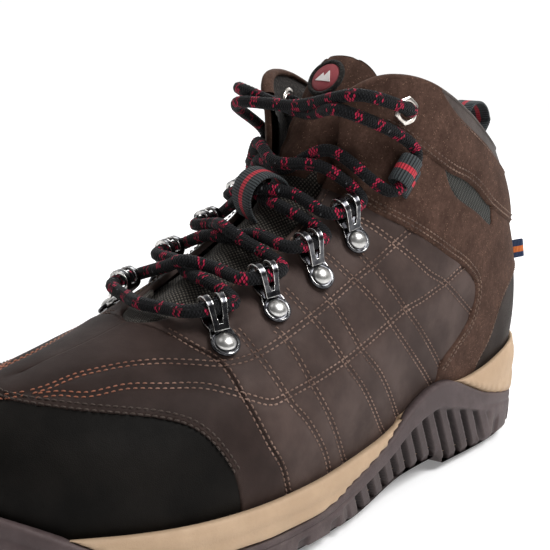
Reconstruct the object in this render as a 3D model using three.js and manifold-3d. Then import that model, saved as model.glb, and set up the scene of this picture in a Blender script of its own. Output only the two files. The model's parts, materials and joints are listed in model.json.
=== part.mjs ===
// Mid-height lace-up hiking boot for the left foot, in millimetres.
// +X is the outer side, the toe points along -Y and +Z is up; the sole stands on z = 0.
import * as THREE from "three";
import { mergeVertices } from "three/addons/utils/BufferGeometryUtils.js";
import Module from "manifold-3d";

const wasm = await Module();
wasm.setup();

// Overall sizes, and the sizes at which the last below was drawn.
const bootLength = 305;
const ballWidth = 118;
const collarHeight = 172;
const drawnLength = 305;
const drawnWidth = 118;
const drawnHeight = 172;

// Layers of the upper, measured inwards from its outer face.
const leatherThickness = 1.6;
const liningThickness = 1.2;
const puffThickness = 1.2;
const counterThickness = 1.8;
const paddingThickness = 5.5;
const paddingEdge = 1.5;
const layerGap = 0.3;
const seamGap = 0.3;

// Sole unit.
const boardThickness = 2.3;
const footbedThickness = 5;
const soleOverhang = 5.4;
const rubberWall = 2.7;
const outsolePlate = 4;
const lugHeight = 4;
const shankWidth = 15;
const shankThickness = 1.6;

// Lacing hardware.
const laceDiameter = 5;
const hookWidth = 9;
const hookGauge = 1.1;
const hookReach = 13;
const rivetShankRadius = 1.6;
const rivetHeadRadius = 3.7;
const eyeletHoleRadius = 3.3;
const eyeletBarrelRadius = 4;
const eyeletAcross = 12;
const webbingWidth = 12;
const webbingThickness = 1.3;
const heelLoopHeight = 17;

const stationCount = 24;
const uSteps = 48;
const vSteps = 8;
const ridgeEnd = 6;

// The last. Each row is a station, from the toe round the outer side, the heel and the inner side:
// feather line, belly pull, shoulder pull, then the ridge over the foot or the collar edge.
const last = [
  [[-10, -147, 22], [-10, -160, 48], [-8, -142, 63], [-6, -114, 67]],
  [[16, -139, 21], [18, -150, 48], [6, -136, 64], [-5, -112, 68]],
  [[37, -118, 20], [41, -125, 52], [20, -116, 68], [-4, -104, 71]],
  [[50, -88, 19], [56, -90, 56], [27, -88, 74], [-2, -88, 75]],
  [[54, -58, 18], [61, -59, 60], [31, -60, 85], [0, -64, 84]],
  [[52, -27, 18], [59, -27, 66], [34, -32, 99], [0, -38, 97]],
  [[48, 3, 20], [54, 3, 71], [38, -5, 114], [0, -14, 113]],
  [[43, 34, 23], [49, 34, 76], [43, 18, 130], [0, 4, 132]],
  [[41, 62, 27], [46, 64, 78], [46, 34, 138], [24, 6, 164]],
  [[40, 90, 30], [46, 95, 77], [43, 66, 124], [39, 34, 172]],
  [[37, 120, 33], [43, 128, 76], [36, 106, 112], [39, 78, 152]],
  [[26, 142, 35], [32, 152, 76], [26, 132, 112], [29, 116, 133]],
  [[0, 150, 36], [0, 163, 78], [0, 139, 114], [0, 140, 147]],
  [[-25, 142, 35], [-30, 152, 76], [-25, 132, 112], [-28, 116, 133]],
  [[-36, 120, 33], [-41, 128, 76], [-35, 106, 112], [-38, 78, 152]],
  [[-37, 90, 30], [-42, 95, 77], [-41, 66, 124], [-39, 34, 172]],
  [[-34, 62, 27], [-38, 64, 78], [-45, 34, 138], [-24, 6, 164]],
  [[-33, 34, 23], [-38, 34, 76], [-42, 18, 130], [0, 4, 132]],
  [[-38, 3, 20], [-43, 3, 71], [-37, -5, 114], [0, -14, 113]],
  [[-46, -27, 18], [-51, -27, 66], [-34, -32, 99], [0, -38, 97]],
  [[-53, -58, 18], [-58, -59, 60], [-32, -60, 85], [0, -64, 84]],
  [[-54, -88, 19], [-58, -90, 56], [-30, -88, 74], [-2, -88, 75]],
  [[-47, -118, 20], [-50, -125, 52], [-26, -116, 68], [-4, -104, 71]],
  [[-32, -139, 21], [-34, -150, 48], [-19, -136, 64], [-5, -112, 68]],
];

// Colours of the finishes.
const finish = {
  nubuck: { color: 0x584a46, roughness: 0.85 },
  toeLeather: { color: 0x23211e, roughness: 0.7 },
  suede: { color: 0x4b3426, roughness: 0.95 },
  meshFabric: { color: 0x3a382f, roughness: 0.9 },
  trimFabric: { color: 0x2b2724, roughness: 0.9 },
  lining: { color: 0x2a2420, roughness: 0.95 },
  foam: { color: 0xb9b2a0, roughness: 0.9 },
  stiffener: { color: 0xd8cfb8, roughness: 0.8 },
  board: { color: 0xc9b58c, roughness: 0.9 },
  steel: { color: 0x9a9c9e, roughness: 0.4, metalness: 0.9 },
  midsole: { color: 0xb9a582, roughness: 0.8 },
  rubber: { color: 0x5f504e, roughness: 0.75 },
  gunmetal: { color: 0x55585c, roughness: 0.3, metalness: 1 },
  silver: { color: 0xc8beb2, roughness: 0.25, metalness: 1 },
  lace: { color: 0x17161a, roughness: 0.9 },
  webbing: { color: 0x2c2f31, roughness: 0.85 },
  badge: { color: 0xaa4150, roughness: 0.6 },
  tag: { color: 0xd8662a, roughness: 0.8 },
  aglet: { color: 0x101012, roughness: 0.35 },
};

const boot = new THREE.Group();

const vec = (x, y, z) => new THREE.Vector3(x, y, z);
const wrap = (u) => ((u % stationCount) + stationCount) % stationCount;
const mirrorU = (u) => wrap(stationCount - u);
const clamp01 = (x) => Math.min(1, Math.max(0, x));
const smooth = (a, b, x) => {
  const t = clamp01((x - a) / (b - a));
  return t * t * (3 - 2 * t);
};

// Linear interpolation through [position, value] keys.
function keyed(keys, x) {
  if (x <= keys[0][0]) return keys[0][1];
  for (let k = 1; k < keys.length; k += 1) {
    const [x1, y1] = keys[k];
    const [x0, y0] = keys[k - 1];
    if (x <= x1) return y0 + ((y1 - y0) * (x - x0)) / (x1 - x0);
  }
  return keys[keys.length - 1][1];
}

// ---- The surface of the upper: u counts stations round the foot, v runs from sole to top ----

const lastScale = vec(
  ballWidth / drawnWidth,
  bootLength / drawnLength,
  collarHeight / drawnHeight,
);
const lastPoints = last.map((row) => row.map((p) => vec(...p).multiply(lastScale)));

function splineWeights(t) {
  return [
    (1 - t) ** 3 / 6,
    (3 * t ** 3 - 6 * t ** 2 + 4) / 6,
    (-3 * t ** 3 + 3 * t ** 2 + 3 * t + 1) / 6,
    t ** 3 / 6,
  ];
}

function surface(u, v) {
  const base = Math.floor(wrap(u));
  const along = splineWeights(wrap(u) - base);
  const up = [(1 - v) ** 3, 3 * v * (1 - v) ** 2, 3 * v ** 2 * (1 - v), v ** 3];
  const point = vec(0, 0, 0);
  along.forEach((a, k) => {
    const row = lastPoints[wrap(base - 1 + k)];
    up.forEach((b, c) => point.addScaledVector(row[c], a * b));
  });
  return point;
}

function plainNormal(u, v) {
  const step = 0.02;
  const du = surface(u + step, v).sub(surface(u - step, v));
  const dv = surface(u, v + step).sub(surface(u, v - step));
  return du.cross(dv).normalize();
}

// Over the toe the two sides meet on a ridge, where both take the same normal.
function normal(u, v) {
  const own = plainNormal(u, Math.min(v, 0.96));
  const nearRidge = Math.min(wrap(u), mirrorU(u));
  const share = 0.5 * smooth(0.7, 1, v) * (1 - smooth(ridgeEnd, ridgeEnd + 1, nearRidge));
  const other = plainNormal(mirrorU(u), Math.min(v, 0.96));
  return own.multiplyScalar(1 - share).addScaledVector(other, share).normalize();
}

const raised = (u, v, height) => surface(u, v).addScaledVector(normal(u, v), height);

// ---- Solids from grids of points ----

function geometryFrom(triangles) {
  const positions = new Float32Array(triangles.flat().flatMap((p) => [p.x, p.y, p.z]));
  const loose = new THREE.BufferGeometry();
  loose.setAttribute("position", new THREE.BufferAttribute(positions, 3));
  const merged = mergeVertices(loose, 1e-3);
  const index = merged.index.array;
  const kept = [];
  for (let i = 0; i < index.length; i += 3) {
    const [a, b, c] = [index[i], index[i + 1], index[i + 2]];
    if (a !== b && b !== c && c !== a) kept.push(a, b, c);
  }
  merged.setIndex(kept);
  return merged;
}

// A solid between an outer and an inner grid. round closes it in the first direction,
// and openTop(i) says where the far edge needs no wall because it meets the other side.
function gridSolid(outer, inner, ni, nj, round = false, openTop = () => false) {
  const triangles = [];
  const quad = (a, b, c, d) => triangles.push([a, b, c], [a, c, d]);
  const grid = (f) =>
    Array.from({ length: ni + 1 }, (_, i) =>
      Array.from({ length: nj + 1 }, (__, j) => f(round ? i % ni : i, j)),
    );
  const o = grid(outer);
  const n = grid(inner);
  for (let i = 0; i < ni; i += 1) {
    for (let j = 0; j < nj; j += 1) {
      quad(o[i][j], o[i + 1][j], o[i + 1][j + 1], o[i][j + 1]);
      quad(n[i][j], n[i][j + 1], n[i + 1][j + 1], n[i + 1][j]);
    }
    quad(o[i + 1][0], o[i][0], n[i][0], n[i + 1][0]);
    if (!openTop(i)) quad(o[i][nj], o[i + 1][nj], n[i + 1][nj], n[i][nj]);
  }
  for (let j = 0; j < nj && !round; j += 1) {
    quad(o[0][j], o[0][j + 1], n[0][j + 1], n[0][j]);
    quad(o[ni][j + 1], o[ni][j], n[ni][j], n[ni][j + 1]);
  }
  return geometryFrom(triangles);
}

// ---- Booleans ----

function solidOf(geometry) {
  const plain = new THREE.BufferGeometry();
  plain.setAttribute("position", geometry.getAttribute("position"));
  if (geometry.index) plain.setIndex(geometry.index);
  const merged = mergeVertices(plain, 1e-3);
  return new wasm.Manifold(
    new wasm.Mesh({
      numProp: 3,
      vertProperties: new Float32Array(merged.attributes.position.array),
      triVerts: new Uint32Array(merged.index.array),
    }),
  );
}

function geometryOf(solid) {
  const mesh = solid.getMesh();
  const geometry = new THREE.BufferGeometry();
  const stride = mesh.numProp;
  const positions = new Float32Array((mesh.vertProperties.length / stride) * 3);
  for (let i = 0; i < positions.length / 3; i += 1)
    for (let k = 0; k < 3; k += 1) positions[3 * i + k] = mesh.vertProperties[stride * i + k];
  geometry.setAttribute("position", new THREE.BufferAttribute(positions, 3));
  geometry.setIndex(Array.from(mesh.triVerts));
  return geometry;
}

function add(name, shape, look) {
  const geometry = shape.isBufferGeometry ? shape : geometryOf(shape);
  geometry.computeVertexNormals();
  const mesh = new THREE.Mesh(geometry, new THREE.MeshStandardMaterial(look));
  mesh.name = name;
  boot.add(mesh);
  return mesh;
}

// ---- Layers of the upper ----

// Extra depth taken by stiffeners and padding between the leather and the lining.
const puffZone = { from: -6, to: 6, rows: [0, 5] };
const counterZone = { from: 19, to: 29, rows: [0, 3] };
const paddingZone = { from: 18, to: 30, rows: [4, 7] };

const inZone = (zone, i, j) => {
  const turn = i - zone.from >= uSteps ? i - uSteps : i;
  return turn >= zone.from && turn <= zone.to && j >= zone.rows[0] && j <= zone.rows[1];
};

function fillDepth(i, j) {
  if (inZone(puffZone, i, j)) return puffThickness;
  if (inZone(counterZone, i, j)) return counterThickness;
  if (!inZone(paddingZone, i, j)) return 0;
  const rowSpan = paddingZone.rows[1] - paddingZone.rows[0];
  const acrossRows = Math.sin((Math.PI * (j - paddingZone.rows[0])) / rowSpan);
  const edge = smooth(0, 3, Math.min(i - paddingZone.from, paddingZone.to - i));
  return paddingEdge + (paddingThickness - paddingEdge) * acrossRows * edge;
}

const latticeU = (i) => (i * stationCount) / uSteps;
const latticeV = (j) => j / vSteps;
const latticePoint = (i, j, height) => raised(latticeU(i), latticeV(j), height);
const meetsOnRidge = (i) => {
  const end = (ridgeEnd * uSteps) / stationCount;
  return i < end || i >= uSteps - end;
};

function fullLayer(outerHeight, innerHeight) {
  return gridSolid(
    (i, j) => latticePoint(i, j, outerHeight(i, j)),
    (i, j) => latticePoint(i, j, innerHeight(i, j)),
    uSteps,
    vSteps,
    true,
    meetsOnRidge,
  );
}

function zoneLayer(zone) {
  const columns = zone.to - zone.from;
  const rows = zone.rows[1] - zone.rows[0];
  const top = -(leatherThickness + layerGap);
  const at = (i, j, height) => latticePoint(zone.from + i, zone.rows[0] + j, height);
  return gridSolid(
    (i, j) => at(i, j, top),
    (i, j) => at(i, j, top - fillDepth(zone.from + i, zone.rows[0] + j)),
    columns,
    rows,
  );
}

// A thin wall that follows a seam through the layers; taking it away opens the seam.
function seamWall(route, width = seamGap, depth = 8, stepLength = 0.12) {
  const path = [];
  for (let k = 0; k + 1 < route.length; k += 1) {
    const [u0, v0] = route[k];
    const [u1, v1] = route[k + 1];
    const count = Math.max(1, Math.round(Math.hypot(u1 - u0, 6 * (v1 - v0)) / (stepLength * 4)));
    for (let s = 0; s < count; s += 1)
      path.push([u0 + ((u1 - u0) * s) / count, v0 + ((v1 - v0) * s) / count]);
  }
  path.push(route[route.length - 1]);
  const points = path.map(([u, v]) => surface(u, v));
  const corner = (k, side, height) => {
    const ahead = points[Math.min(k + 1, points.length - 1)];
    const behind = points[Math.max(k - 1, 0)];
    const n = normal(...path[k]);
    const across = n.clone().cross(ahead.clone().sub(behind)).normalize();
    return points[k].clone().addScaledVector(across, side).addScaledVector(n, height);
  };
  const half = width / 2;
  return gridSolid(
    (k, j) => corner(k, -half, j ? depth : -depth),
    (k, j) => corner(k, half, j ? depth : -depth),
    points.length - 1,
    1,
  );
}

const mirrored = (route) => route.map(([u, v]) => [stationCount - u, v]);
const bothSides = (route) => [route, mirrored(route)];

const facingEdge = [
  [3.5, 1.03], [3.62, 0.93], [3.9, 0.875], [4.5, 0.845], [5.5, 0.83], [6.4, 0.84],
  [7.1, 0.88], [7.6, 0.94], [7.95, 1.04],
];
const trimEdge = [[3.82, 1.03], [3.92, 0.95], [4.15, 0.9], [4.5, 0.82]];
const toeCapSeam = [
  [-0.15, 0.83], [0, 0.83], [0.8, 0.78], [1.56, 0.69], [2.33, 0.57], [2.97, 0.46], [3.31, 0.36],
  [3.6, 0.18], [3.72, -0.04],
];
const vampSeam = [
  [3.5, 1.03], [3.72, 0.74], [3.91, 0.57], [3.96, 0.41], [4.1, 0.25], [4.3, 0.14],
  [4.48, -0.04],
];
const suedeFrontSeam = [
  [6.72, 0.9], [6.85, 0.8], [6.94, 0.77], [7.1, 0.67], [7.58, 0.56], [8.18, 0.47], [8.64, 0.42],
  [8.88, 0.36], [8.68, 0.26], [8.28, 0.2], [7.86, 0.14], [7.62, -0.04],
];
const heelSeam = [
  [8.86, -0.04], [8.98, 0.08], [9.32, 0.16], [9.62, 0.27], [9.92, 0.33], [10.5, 0.39],
  [11.2, 0.42], [12, 0.43], [12.15, 0.43],
];
const collarSeam = [
  [7.72, 1.04], [8.05, 0.87], [8.46, 0.77], [8.83, 0.72], [9.18, 0.71], [9.42, 0.69],
  [9.71, 0.65], [10.3, 0.62], [11, 0.6], [12, 0.59], [12.15, 0.59],
];
const windowSeam = [[8.8, 0.74], [8.77, 0.68], [8.86, 0.64], [9.27, 0.61], [9.6, 0.58], [9.74, 0.66]];
const backTrimSeam = [
  [9.25, 1.04], [9.47, 0.94], [10.15, 0.92], [10.71, 0.89], [11.3, 0.86], [12, 0.85], [12.15, 0.85],
];
const backSeam = [[12, 0.4], [12, 0.88]];

// The seed of each piece is a spot that lies on it.
const upperPieces = [
  ["toe_cap", [0, 0.3], finish.toeLeather],
  ["vamp", [2.6, 0.8], finish.nubuck],
  ["quarter_lateral", [6, 0.4], finish.nubuck],
  ["quarter_medial", [18, 0.4], finish.nubuck],
  ["ankle_suede_lateral", [9.2, 0.5], finish.suede],
  ["ankle_suede_medial", [14.8, 0.5], finish.suede],
  ["heel_panel", [12, 0.2], finish.toeLeather],
  ["mesh_window_lateral", [9.2, 0.655], finish.meshFabric],
  ["mesh_window_medial", [14.8, 0.655], finish.meshFabric],
  ["collar_suede_lateral", [9, 0.85], finish.suede],
  ["collar_suede_medial", [15, 0.85], finish.suede],
  ["collar_back_trim", [12, 0.95], finish.trimFabric],
  ["throat_trim", [3.68, 0.985], finish.meshFabric],
];

function holdsPoint(solid, point) {
  const probe = new THREE.IcosahedronGeometry(0.3, 0).translate(point.x, point.y, point.z);
  return solid.intersect(solidOf(probe)).volume() > 1e-4;
}

// ---- Round tools placed on the upper ----

function frameOn(u, v, towards) {
  const origin = surface(u, v);
  const up = normal(u, v);
  const along = surface(...towards).sub(origin);
  along.addScaledVector(up, -along.dot(up)).normalize();
  const side = up.clone().cross(along);
  return new THREE.Matrix4().makeBasis(along, side, up).setPosition(origin);
}

function roundPeg(radius, low, high, sides = 10) {
  const outline = [
    new THREE.Vector2(0, low),
    new THREE.Vector2(radius, low),
    new THREE.Vector2(radius, high),
    new THREE.Vector2(0, high),
  ];
  return new THREE.LatheGeometry(outline, sides).rotateX(Math.PI / 2);
}

// Hooks, from the toe up: where the rivet sits and where the bend points.
const hookSpots = [
  [[4.07, 0.625], [4.25, 0.81]],
  [[4.9, 0.625], [5.05, 0.8]],
  [[5.72, 0.625], [5.86, 0.8]],
  [[6.54, 0.64], [6.7, 0.8]],
];
const eyeletSpot = [[8.53, 0.9], [8.05, 0.97]];
const ankleLoopSpot = [[8.02, 0.66], [7.62, 0.86]];

const onSide = (spot, side) =>
  side > 0 ? spot : spot.map(([u, v]) => [stationCount - u, v]);
const sides = [["lateral", 1], ["medial", -1]];

const hookFrames = {};
const eyeletFrames = {};
const loopFrames = {};
sides.forEach(([sideName, side]) => {
  hookFrames[sideName] = hookSpots.map((spot) => frameOn(...onSide(spot, side)[0], onSide(spot, side)[1]));
  eyeletFrames[sideName] = frameOn(...onSide(eyeletSpot, side)[0], onSide(eyeletSpot, side)[1]);
  loopFrames[sideName] = frameOn(...onSide(ankleLoopSpot, side)[0], onSide(ankleLoopSpot, side)[1]);
});

// ---- Cutting the leather and the lining ----

const holeTools = [];
const eyeletTools = [];
sides.forEach(([sideName]) => {
  hookFrames[sideName].forEach((frame) =>
    holeTools.push(
      roundPeg(rivetShankRadius + layerGap, -leatherThickness - 2, 4, 8).applyMatrix4(frame),
    ),
  );
  const wide = roundPeg(eyeletBarrelRadius + layerGap, -12, 6, 12);
  eyeletTools.push(wide.applyMatrix4(eyeletFrames[sideName]));
});

const seams = [
  ...bothSides(facingEdge), ...bothSides(trimEdge), ...bothSides(toeCapSeam),
  ...bothSides(vampSeam), ...bothSides(suedeFrontSeam), ...bothSides(heelSeam),
  ...bothSides(collarSeam), ...bothSides(windowSeam), ...bothSides(backTrimSeam), backSeam,
];

let leather = solidOf(fullLayer(() => 0, () => -leatherThickness));
[...holeTools, ...eyeletTools].forEach((tool) => {
  leather = leather.subtract(solidOf(tool));
});
seams.forEach((route) => {
  leather = leather.subtract(solidOf(seamWall(route)));
});
const leatherBodies = leather.decompose();
upperPieces.forEach(([name, [u, v], look]) => {
  const seed = raised(u, v, -leatherThickness / 2);
  const body = leatherBodies.find((b) => holdsPoint(b, seed));
  add(name, body, look);
});

const liningOuter = (i, j) => -(leatherThickness + 2 * layerGap + fillDepth(i, j));
let liningBody = solidOf(fullLayer(liningOuter, (i, j) => liningOuter(i, j) - liningThickness));
[...eyeletTools, ...bothSides(facingEdge).map((route) => seamWall(route, 2 * seamGap))].forEach(
  (tool) => {
    liningBody = liningBody.subtract(solidOf(tool));
  },
);
const liningSeed = raised(6, 0.4, -(leatherThickness + 2 * layerGap + liningThickness / 2));
add("lining", liningBody.decompose().find((b) => holdsPoint(b, liningSeed)), finish.lining);
add("toe_puff", zoneLayer(puffZone), finish.stiffener);
add("heel_counter", zoneLayer(counterZone), finish.stiffener);
add("ankle_padding", zoneLayer(paddingZone), finish.foam);

// ---- Sole unit: rings of a cross-section that runs from the middle of the sole outwards and back ----

const soleU = (u) => Math.min(wrap(u), mirrorU(u));
const asDrawn = (y) => (y * drawnLength) / bootLength;
const groundRise = (y) =>
  8 * clamp01((-asDrawn(y) - 95) / 55) ** 2 + 5 * clamp01((asDrawn(y) - 128) / 25) ** 2;
const archRise = (y) => 5 * smooth(-12, 30, asDrawn(y)) * (1 - smooth(56, 64, asDrawn(y)));
const plateBottom = (y) => lugHeight + groundRise(y) + archRise(y);
const rubberTopKeys = [
  [0, 37], [1, 34], [1.5, 30], [2.2, 21], [3, 14.5], [4, 13.5], [5, 14.5], [5.6, 20], [6.4, 27], [6.9, 36],
  [7.4, 41.5], [7.8, 43], [8.2, 41], [8.6, 36], [9.2, 29], [10, 23.5], [11, 19], [12, 16],
];
const rimKeys = [
  [0, 25], [1.5, 25], [2, 26], [3, 25.5], [4, 25.5], [5, 26], [6, 28.5], [6.4, 30], [6.9, 34.5],
  [7.4, 40], [7.8, 41.5], [8.2, 39.5], [8.6, 39], [9.2, 41], [9.7, 44.5], [10.3, 47.5], [12, 49],
];
const isExposed = (u) => keyed(rimKeys, soleU(u)) > keyed(rubberTopKeys, soleU(u)) + 1.5;

function soleRing(u) {
  const feather = surface(u, 0);
  const step = 0.05;
  const tangent = surface(u + step, 0).sub(surface(u - step, 0));
  const out = vec(tangent.y, -tangent.x, 0).normalize();
  const partner = surface(mirrorU(u), 0);
  const spine = vec((feather.x + partner.x) / 2, feather.y * 0.8, 0);
  const at = (distance, z) => feather.clone().addScaledVector(out, distance).setZ(z);
  return { feather, out, at, middle: (z) => spine.clone().setZ(z) };
}

// The height v on the upper whose point stands at the height z.
function vAtHeight(u, z) {
  let v = 0;
  for (let k = 0; k < 40; k += 1) v += (z - surface(u, v).z) / 160;
  return v;
}

// How far the upper stands out beyond its feather line at the height z.
function girth(u, z) {
  const { feather, out } = soleRing(u);
  return surface(u, vAtHeight(u, z)).sub(feather).dot(out);
}

// Closes rings of points round the boot; the ends of each ring lie on the middle line.
function ringSolid(profile) {
  const rings = Array.from({ length: uSteps }, (_, i) => profile(latticeU(i)));
  const count = rings[0].length - 1;
  const triangles = [];
  rings.forEach((here, i) => {
    const next = rings[(i + 1) % uSteps];
    for (let j = 0; j < count; j += 1) {
      const [a, b, c, d] = [here[j], next[j], next[j + 1], here[j + 1]];
      if (j === count - 1) triangles.push([a, b, d], [b, c, d]);
      else triangles.push([a, b, c], [a, c, d]);
    }
  });
  return geometryFrom(triangles);
}

const cupFloor = (u) => surface(u, 0).z - boardThickness - 2 * layerGap;
const cupGap = 2 * layerGap;
const rimAt = (u) => keyed(rimKeys, soleU(u));

// grow swells the outsole by a clearance, for the cut that it leaves in the midsole.
function outsoleProfile(u, grow = 0) {
  const { feather, at, middle } = soleRing(u);
  const low = plateBottom(feather.y);
  const top = Math.max(keyed(rubberTopKeys, soleU(u)), low + outsolePlate + 1);
  const bevel = 1.6;
  const inside = soleOverhang - rubberWall;
  const overRim = !isExposed(u);
  const lipInside = overRim ? girth(u, top) + cupGap : inside;
  const lip = Math.max(soleOverhang, lipInside + 2.2);
  const ledge = overRim ? rimAt(u) + layerGap : top;
  const ledgeInside = overRim ? girth(u, ledge) + cupGap : inside;
  const floor = low + outsolePlate + grow;
  return [
    middle(low - grow), at(soleOverhang - bevel + grow, low - grow), at(soleOverhang + grow, low + bevel),
    at((soleOverhang + lip) / 2 + 0.3 + grow, (low + top) / 2), at(lip + grow, top - 1),
    at(lip - 0.8, top + grow), at(lipInside - grow, top + grow), at(ledgeInside - grow, ledge),
    at(Math.max(inside, ledgeInside) - grow, ledge), at(inside - grow, floor), middle(floor),
  ];
}

function midsoleProfile(u) {
  const { feather, at, middle } = soleRing(u);
  const low = plateBottom(feather.y) + 1;
  const rim = rimAt(u);
  const cup = girth(u, rim) + cupGap;
  const face = Math.max(soleOverhang, cup + 2.4);
  return [
    middle(low), at(soleOverhang - 1, low), at(soleOverhang, low + 2), at(face + 0.2, (low + rim) / 2),
    at(face - 1.2, rim), at(cup, rim), at(cupGap, feather.z), at(cupGap, cupFloor(u)),
    middle(cupFloor(u)),
  ];
}

function boardProfile(u) {
  const { at, middle } = soleRing(u);
  const low = cupFloor(u) + layerGap;
  return [
    middle(low), at(0, low), at(0, low + boardThickness), middle(low + boardThickness),
  ];
}

function footbedProfile(u) {
  const { feather, at, middle } = soleRing(u);
  const low = feather.z + layerGap;
  const depth = leatherThickness + liningThickness + 2 * layerGap;
  const stiffener = Math.max(puffThickness * (soleU(u) <= 3.6), counterThickness * (soleU(u) >= 8.9));
  const inset = depth + stiffener + 3 * layerGap;
  const rimV = keyed([[0, 0.03], [8, 0.04], [9.5, 0.1], [12, 0.12]], soleU(u));
  const rim = raised(u, rimV, -(inset + layerGap));
  const lip = raised(u, rimV, -(inset + layerGap + 1.6));
  return [
    middle(low), at(-inset, low), rim, lip, at(-inset - 9, low + footbedThickness),
    middle(low + footbedThickness),
  ];
}

// Lugs: rows of hexagonal blocks, one in the middle and one at each side.
function lugSolid(x, y, halfWide, halfLong, lean) {
  const outline = new THREE.Shape([
    new THREE.Vector2(-halfWide, -halfLong * 0.5 + lean),
    new THREE.Vector2(0, -halfLong),
    new THREE.Vector2(halfWide, -halfLong * 0.5 - lean),
    new THREE.Vector2(halfWide, halfLong * 0.7 - lean),
    new THREE.Vector2(0, halfLong * 0.4),
    new THREE.Vector2(-halfWide, halfLong * 0.7 + lean),
  ]);
  const tall = lugHeight + archRise(y) + outsolePlate / 2;
  const block = new THREE.ExtrudeGeometry(outline, { depth: tall, bevelEnabled: false });
  return solidOf(block.translate(x, y, groundRise(y)));
}

// Width of the sole at the height y along the boot, as the x of its inner and outer feather line.
function soleEdges(y) {
  let u = 6;
  for (let k = 0; k < 60; k += 1) u = Math.min(11.9, Math.max(0.1, u + (y - surface(u, 0).y) / 60));
  return [surface(mirrorU(u), 0).x, surface(u, 0).x];
}

const lugRows = [
  { y: -130, half: 6.5 }, { y: -110, half: 7 }, { y: -91, half: 7 }, { y: -72, half: 7 },
  { y: -53, half: 7 }, { y: -34, half: 7 }, { y: 74, half: 7.5 }, { y: 94, half: 7 },
  { y: 114, half: 7 }, { y: 133, half: 6 },
];
let outsole = solidOf(ringSolid(outsoleProfile));
lugRows.forEach(({ y, half }) => {
  const [inner, outer] = soleEdges(y * (bootLength / drawnLength));
  const place = y * (bootLength / drawnLength);
  const wide = outer - inner;
  const lane = wide / 3;
  [-1, 0, 1].forEach((side) => {
    const x = (inner + outer) / 2 + side * (lane + 1);
    outsole = outsole.add(lugSolid(x, place + (side ? 3 : 0), lane / 2 - 2.2, half, side * 1.5));
  });
});

// Shank: a steel strip in a pocket in the top of the midsole, from the heel to the ball.
function strip(halfWidth, low, high, lengthen) {
  const from = 5.1 - lengthen;
  const to = 9.6 + lengthen;
  const rows = 10;
  const place = (k, side, height) => {
    const u = from + ((to - from) * k) / rows;
    const { middle } = soleRing(u);
    const point = middle(cupFloor(u) + height);
    return point.setX(point.x + side * halfWidth).setY(surface(u, 0).y);
  };
  return gridSolid(
    (k, j) => place(k, j ? -1 : 1, high),
    (k, j) => place(k, j ? -1 : 1, low),
    rows,
    1,
  );
}

const pocketDepth = shankThickness + layerGap;
const midsoleBodies = solidOf(ringSolid(midsoleProfile))
  .subtract(solidOf(ringSolid((u) => outsoleProfile(u, layerGap + 0.4))))
  .subtract(solidOf(strip(shankWidth / 2 + layerGap, -pocketDepth, 2, 0.04)))
  .decompose();
const midsole = midsoleBodies.reduce((a, b) => (a.volume() > b.volume() ? a : b));

add("outsole", outsole, finish.rubber);
add("midsole", midsole, finish.midsole);
add("shank", strip(shankWidth / 2, -shankThickness, 0, 0), finish.steel);
add("insole_board", ringSolid(boardProfile), finish.board);
add("footbed", ringSolid(footbedProfile), finish.trimFabric);

// ---- Tongue: rows across it, from the throat to the top, with the middle and the two edges ----

const tongueDrop = leatherThickness + liningThickness + 6 * layerGap;
const onLast = (u, edge, rise) => ({ u, edge, rise, lean: 0 });
const freeRow = (middle, [x, y, z], lean = 0) => ({
  middle: vec(...middle), edges: [vec(x, y, z), vec(-x, y, z)], lean,
});
const tongueRows = [
  onLast(3.3, 0.84, -tongueDrop - 0.3), onLast(4, 0.72, -2.4), onLast(4.8, 0.69, -1.8),
  onLast(5.6, 0.67, -1.6), onLast(6.3, 0.67, -1.6),
  freeRow([0, 3.6, 129], [24, 26, 122.5]), freeRow([0.5, 10.5, 141], [24, 28, 136]),
];
// The back of the crease slopes up by this share of the depth, so the top can tip back into the collar.
const creaseLean = 0.4;
const flapRows = [
  freeRow([0.5, 10.8, 141.7], [24, 28.3, 136.7], creaseLean), freeRow([1, 16.5, 154], [21.5, 31.5, 148.5]),
  freeRow([1.5, 23, 165.5], [21, 36, 159.5]), freeRow([2, 30, 176], [18, 39.5, 170.5]),
];
const tongueThickness = 7;
const tongueColumns = 8;

function rowMiddle(row) {
  return row.middle ? row.middle.clone() : raised(row.u, 1, row.rise);
}

function tonguePoint(rows, k, j, depth) {
  const share = (2 * j) / tongueColumns - 1;
  const row = rows[k];
  const s = Math.abs(share);
  let point;
  if (row.middle) {
    const edge = share > 0 ? row.edges[0] : row.edges[1];
    point = row.middle.clone().lerp(edge, s * s);
    point.x = row.middle.x + (edge.x - row.middle.x) * s;
  } else {
    const u = share > 0 ? row.u : mirrorU(row.u);
    const drop = row.rise + (-tongueDrop - row.rise) * smooth(0.05, 0.36, s);
    point = raised(u, 1 - (1 - row.edge) * s, drop);
  }
  const ahead = rowMiddle(rows[Math.min(k + 1, rows.length - 1)]);
  const rise = ahead.sub(rowMiddle(rows[Math.max(k - 1, 0)])).normalize();
  const inward = vec(-0.5 * share, rise.z, -rise.y).normalize();
  const reach = depth * (1 - 0.65 * s ** 3);
  return point.addScaledVector(inward, reach).addScaledVector(rise, reach * row.lean);
}

const tongueSolid = (rows) =>
  gridSolid(
    (k, j) => tonguePoint(rows, rows.length - 1 - k, j, 0),
    (k, j) => tonguePoint(rows, rows.length - 1 - k, j, tongueThickness),
    rows.length - 1,
    tongueColumns,
  );
add("tongue_lower", tongueSolid(tongueRows), finish.meshFabric);
add("tongue_top", tongueSolid(flapRows), finish.suede);

// ---- Hardware ----

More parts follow.
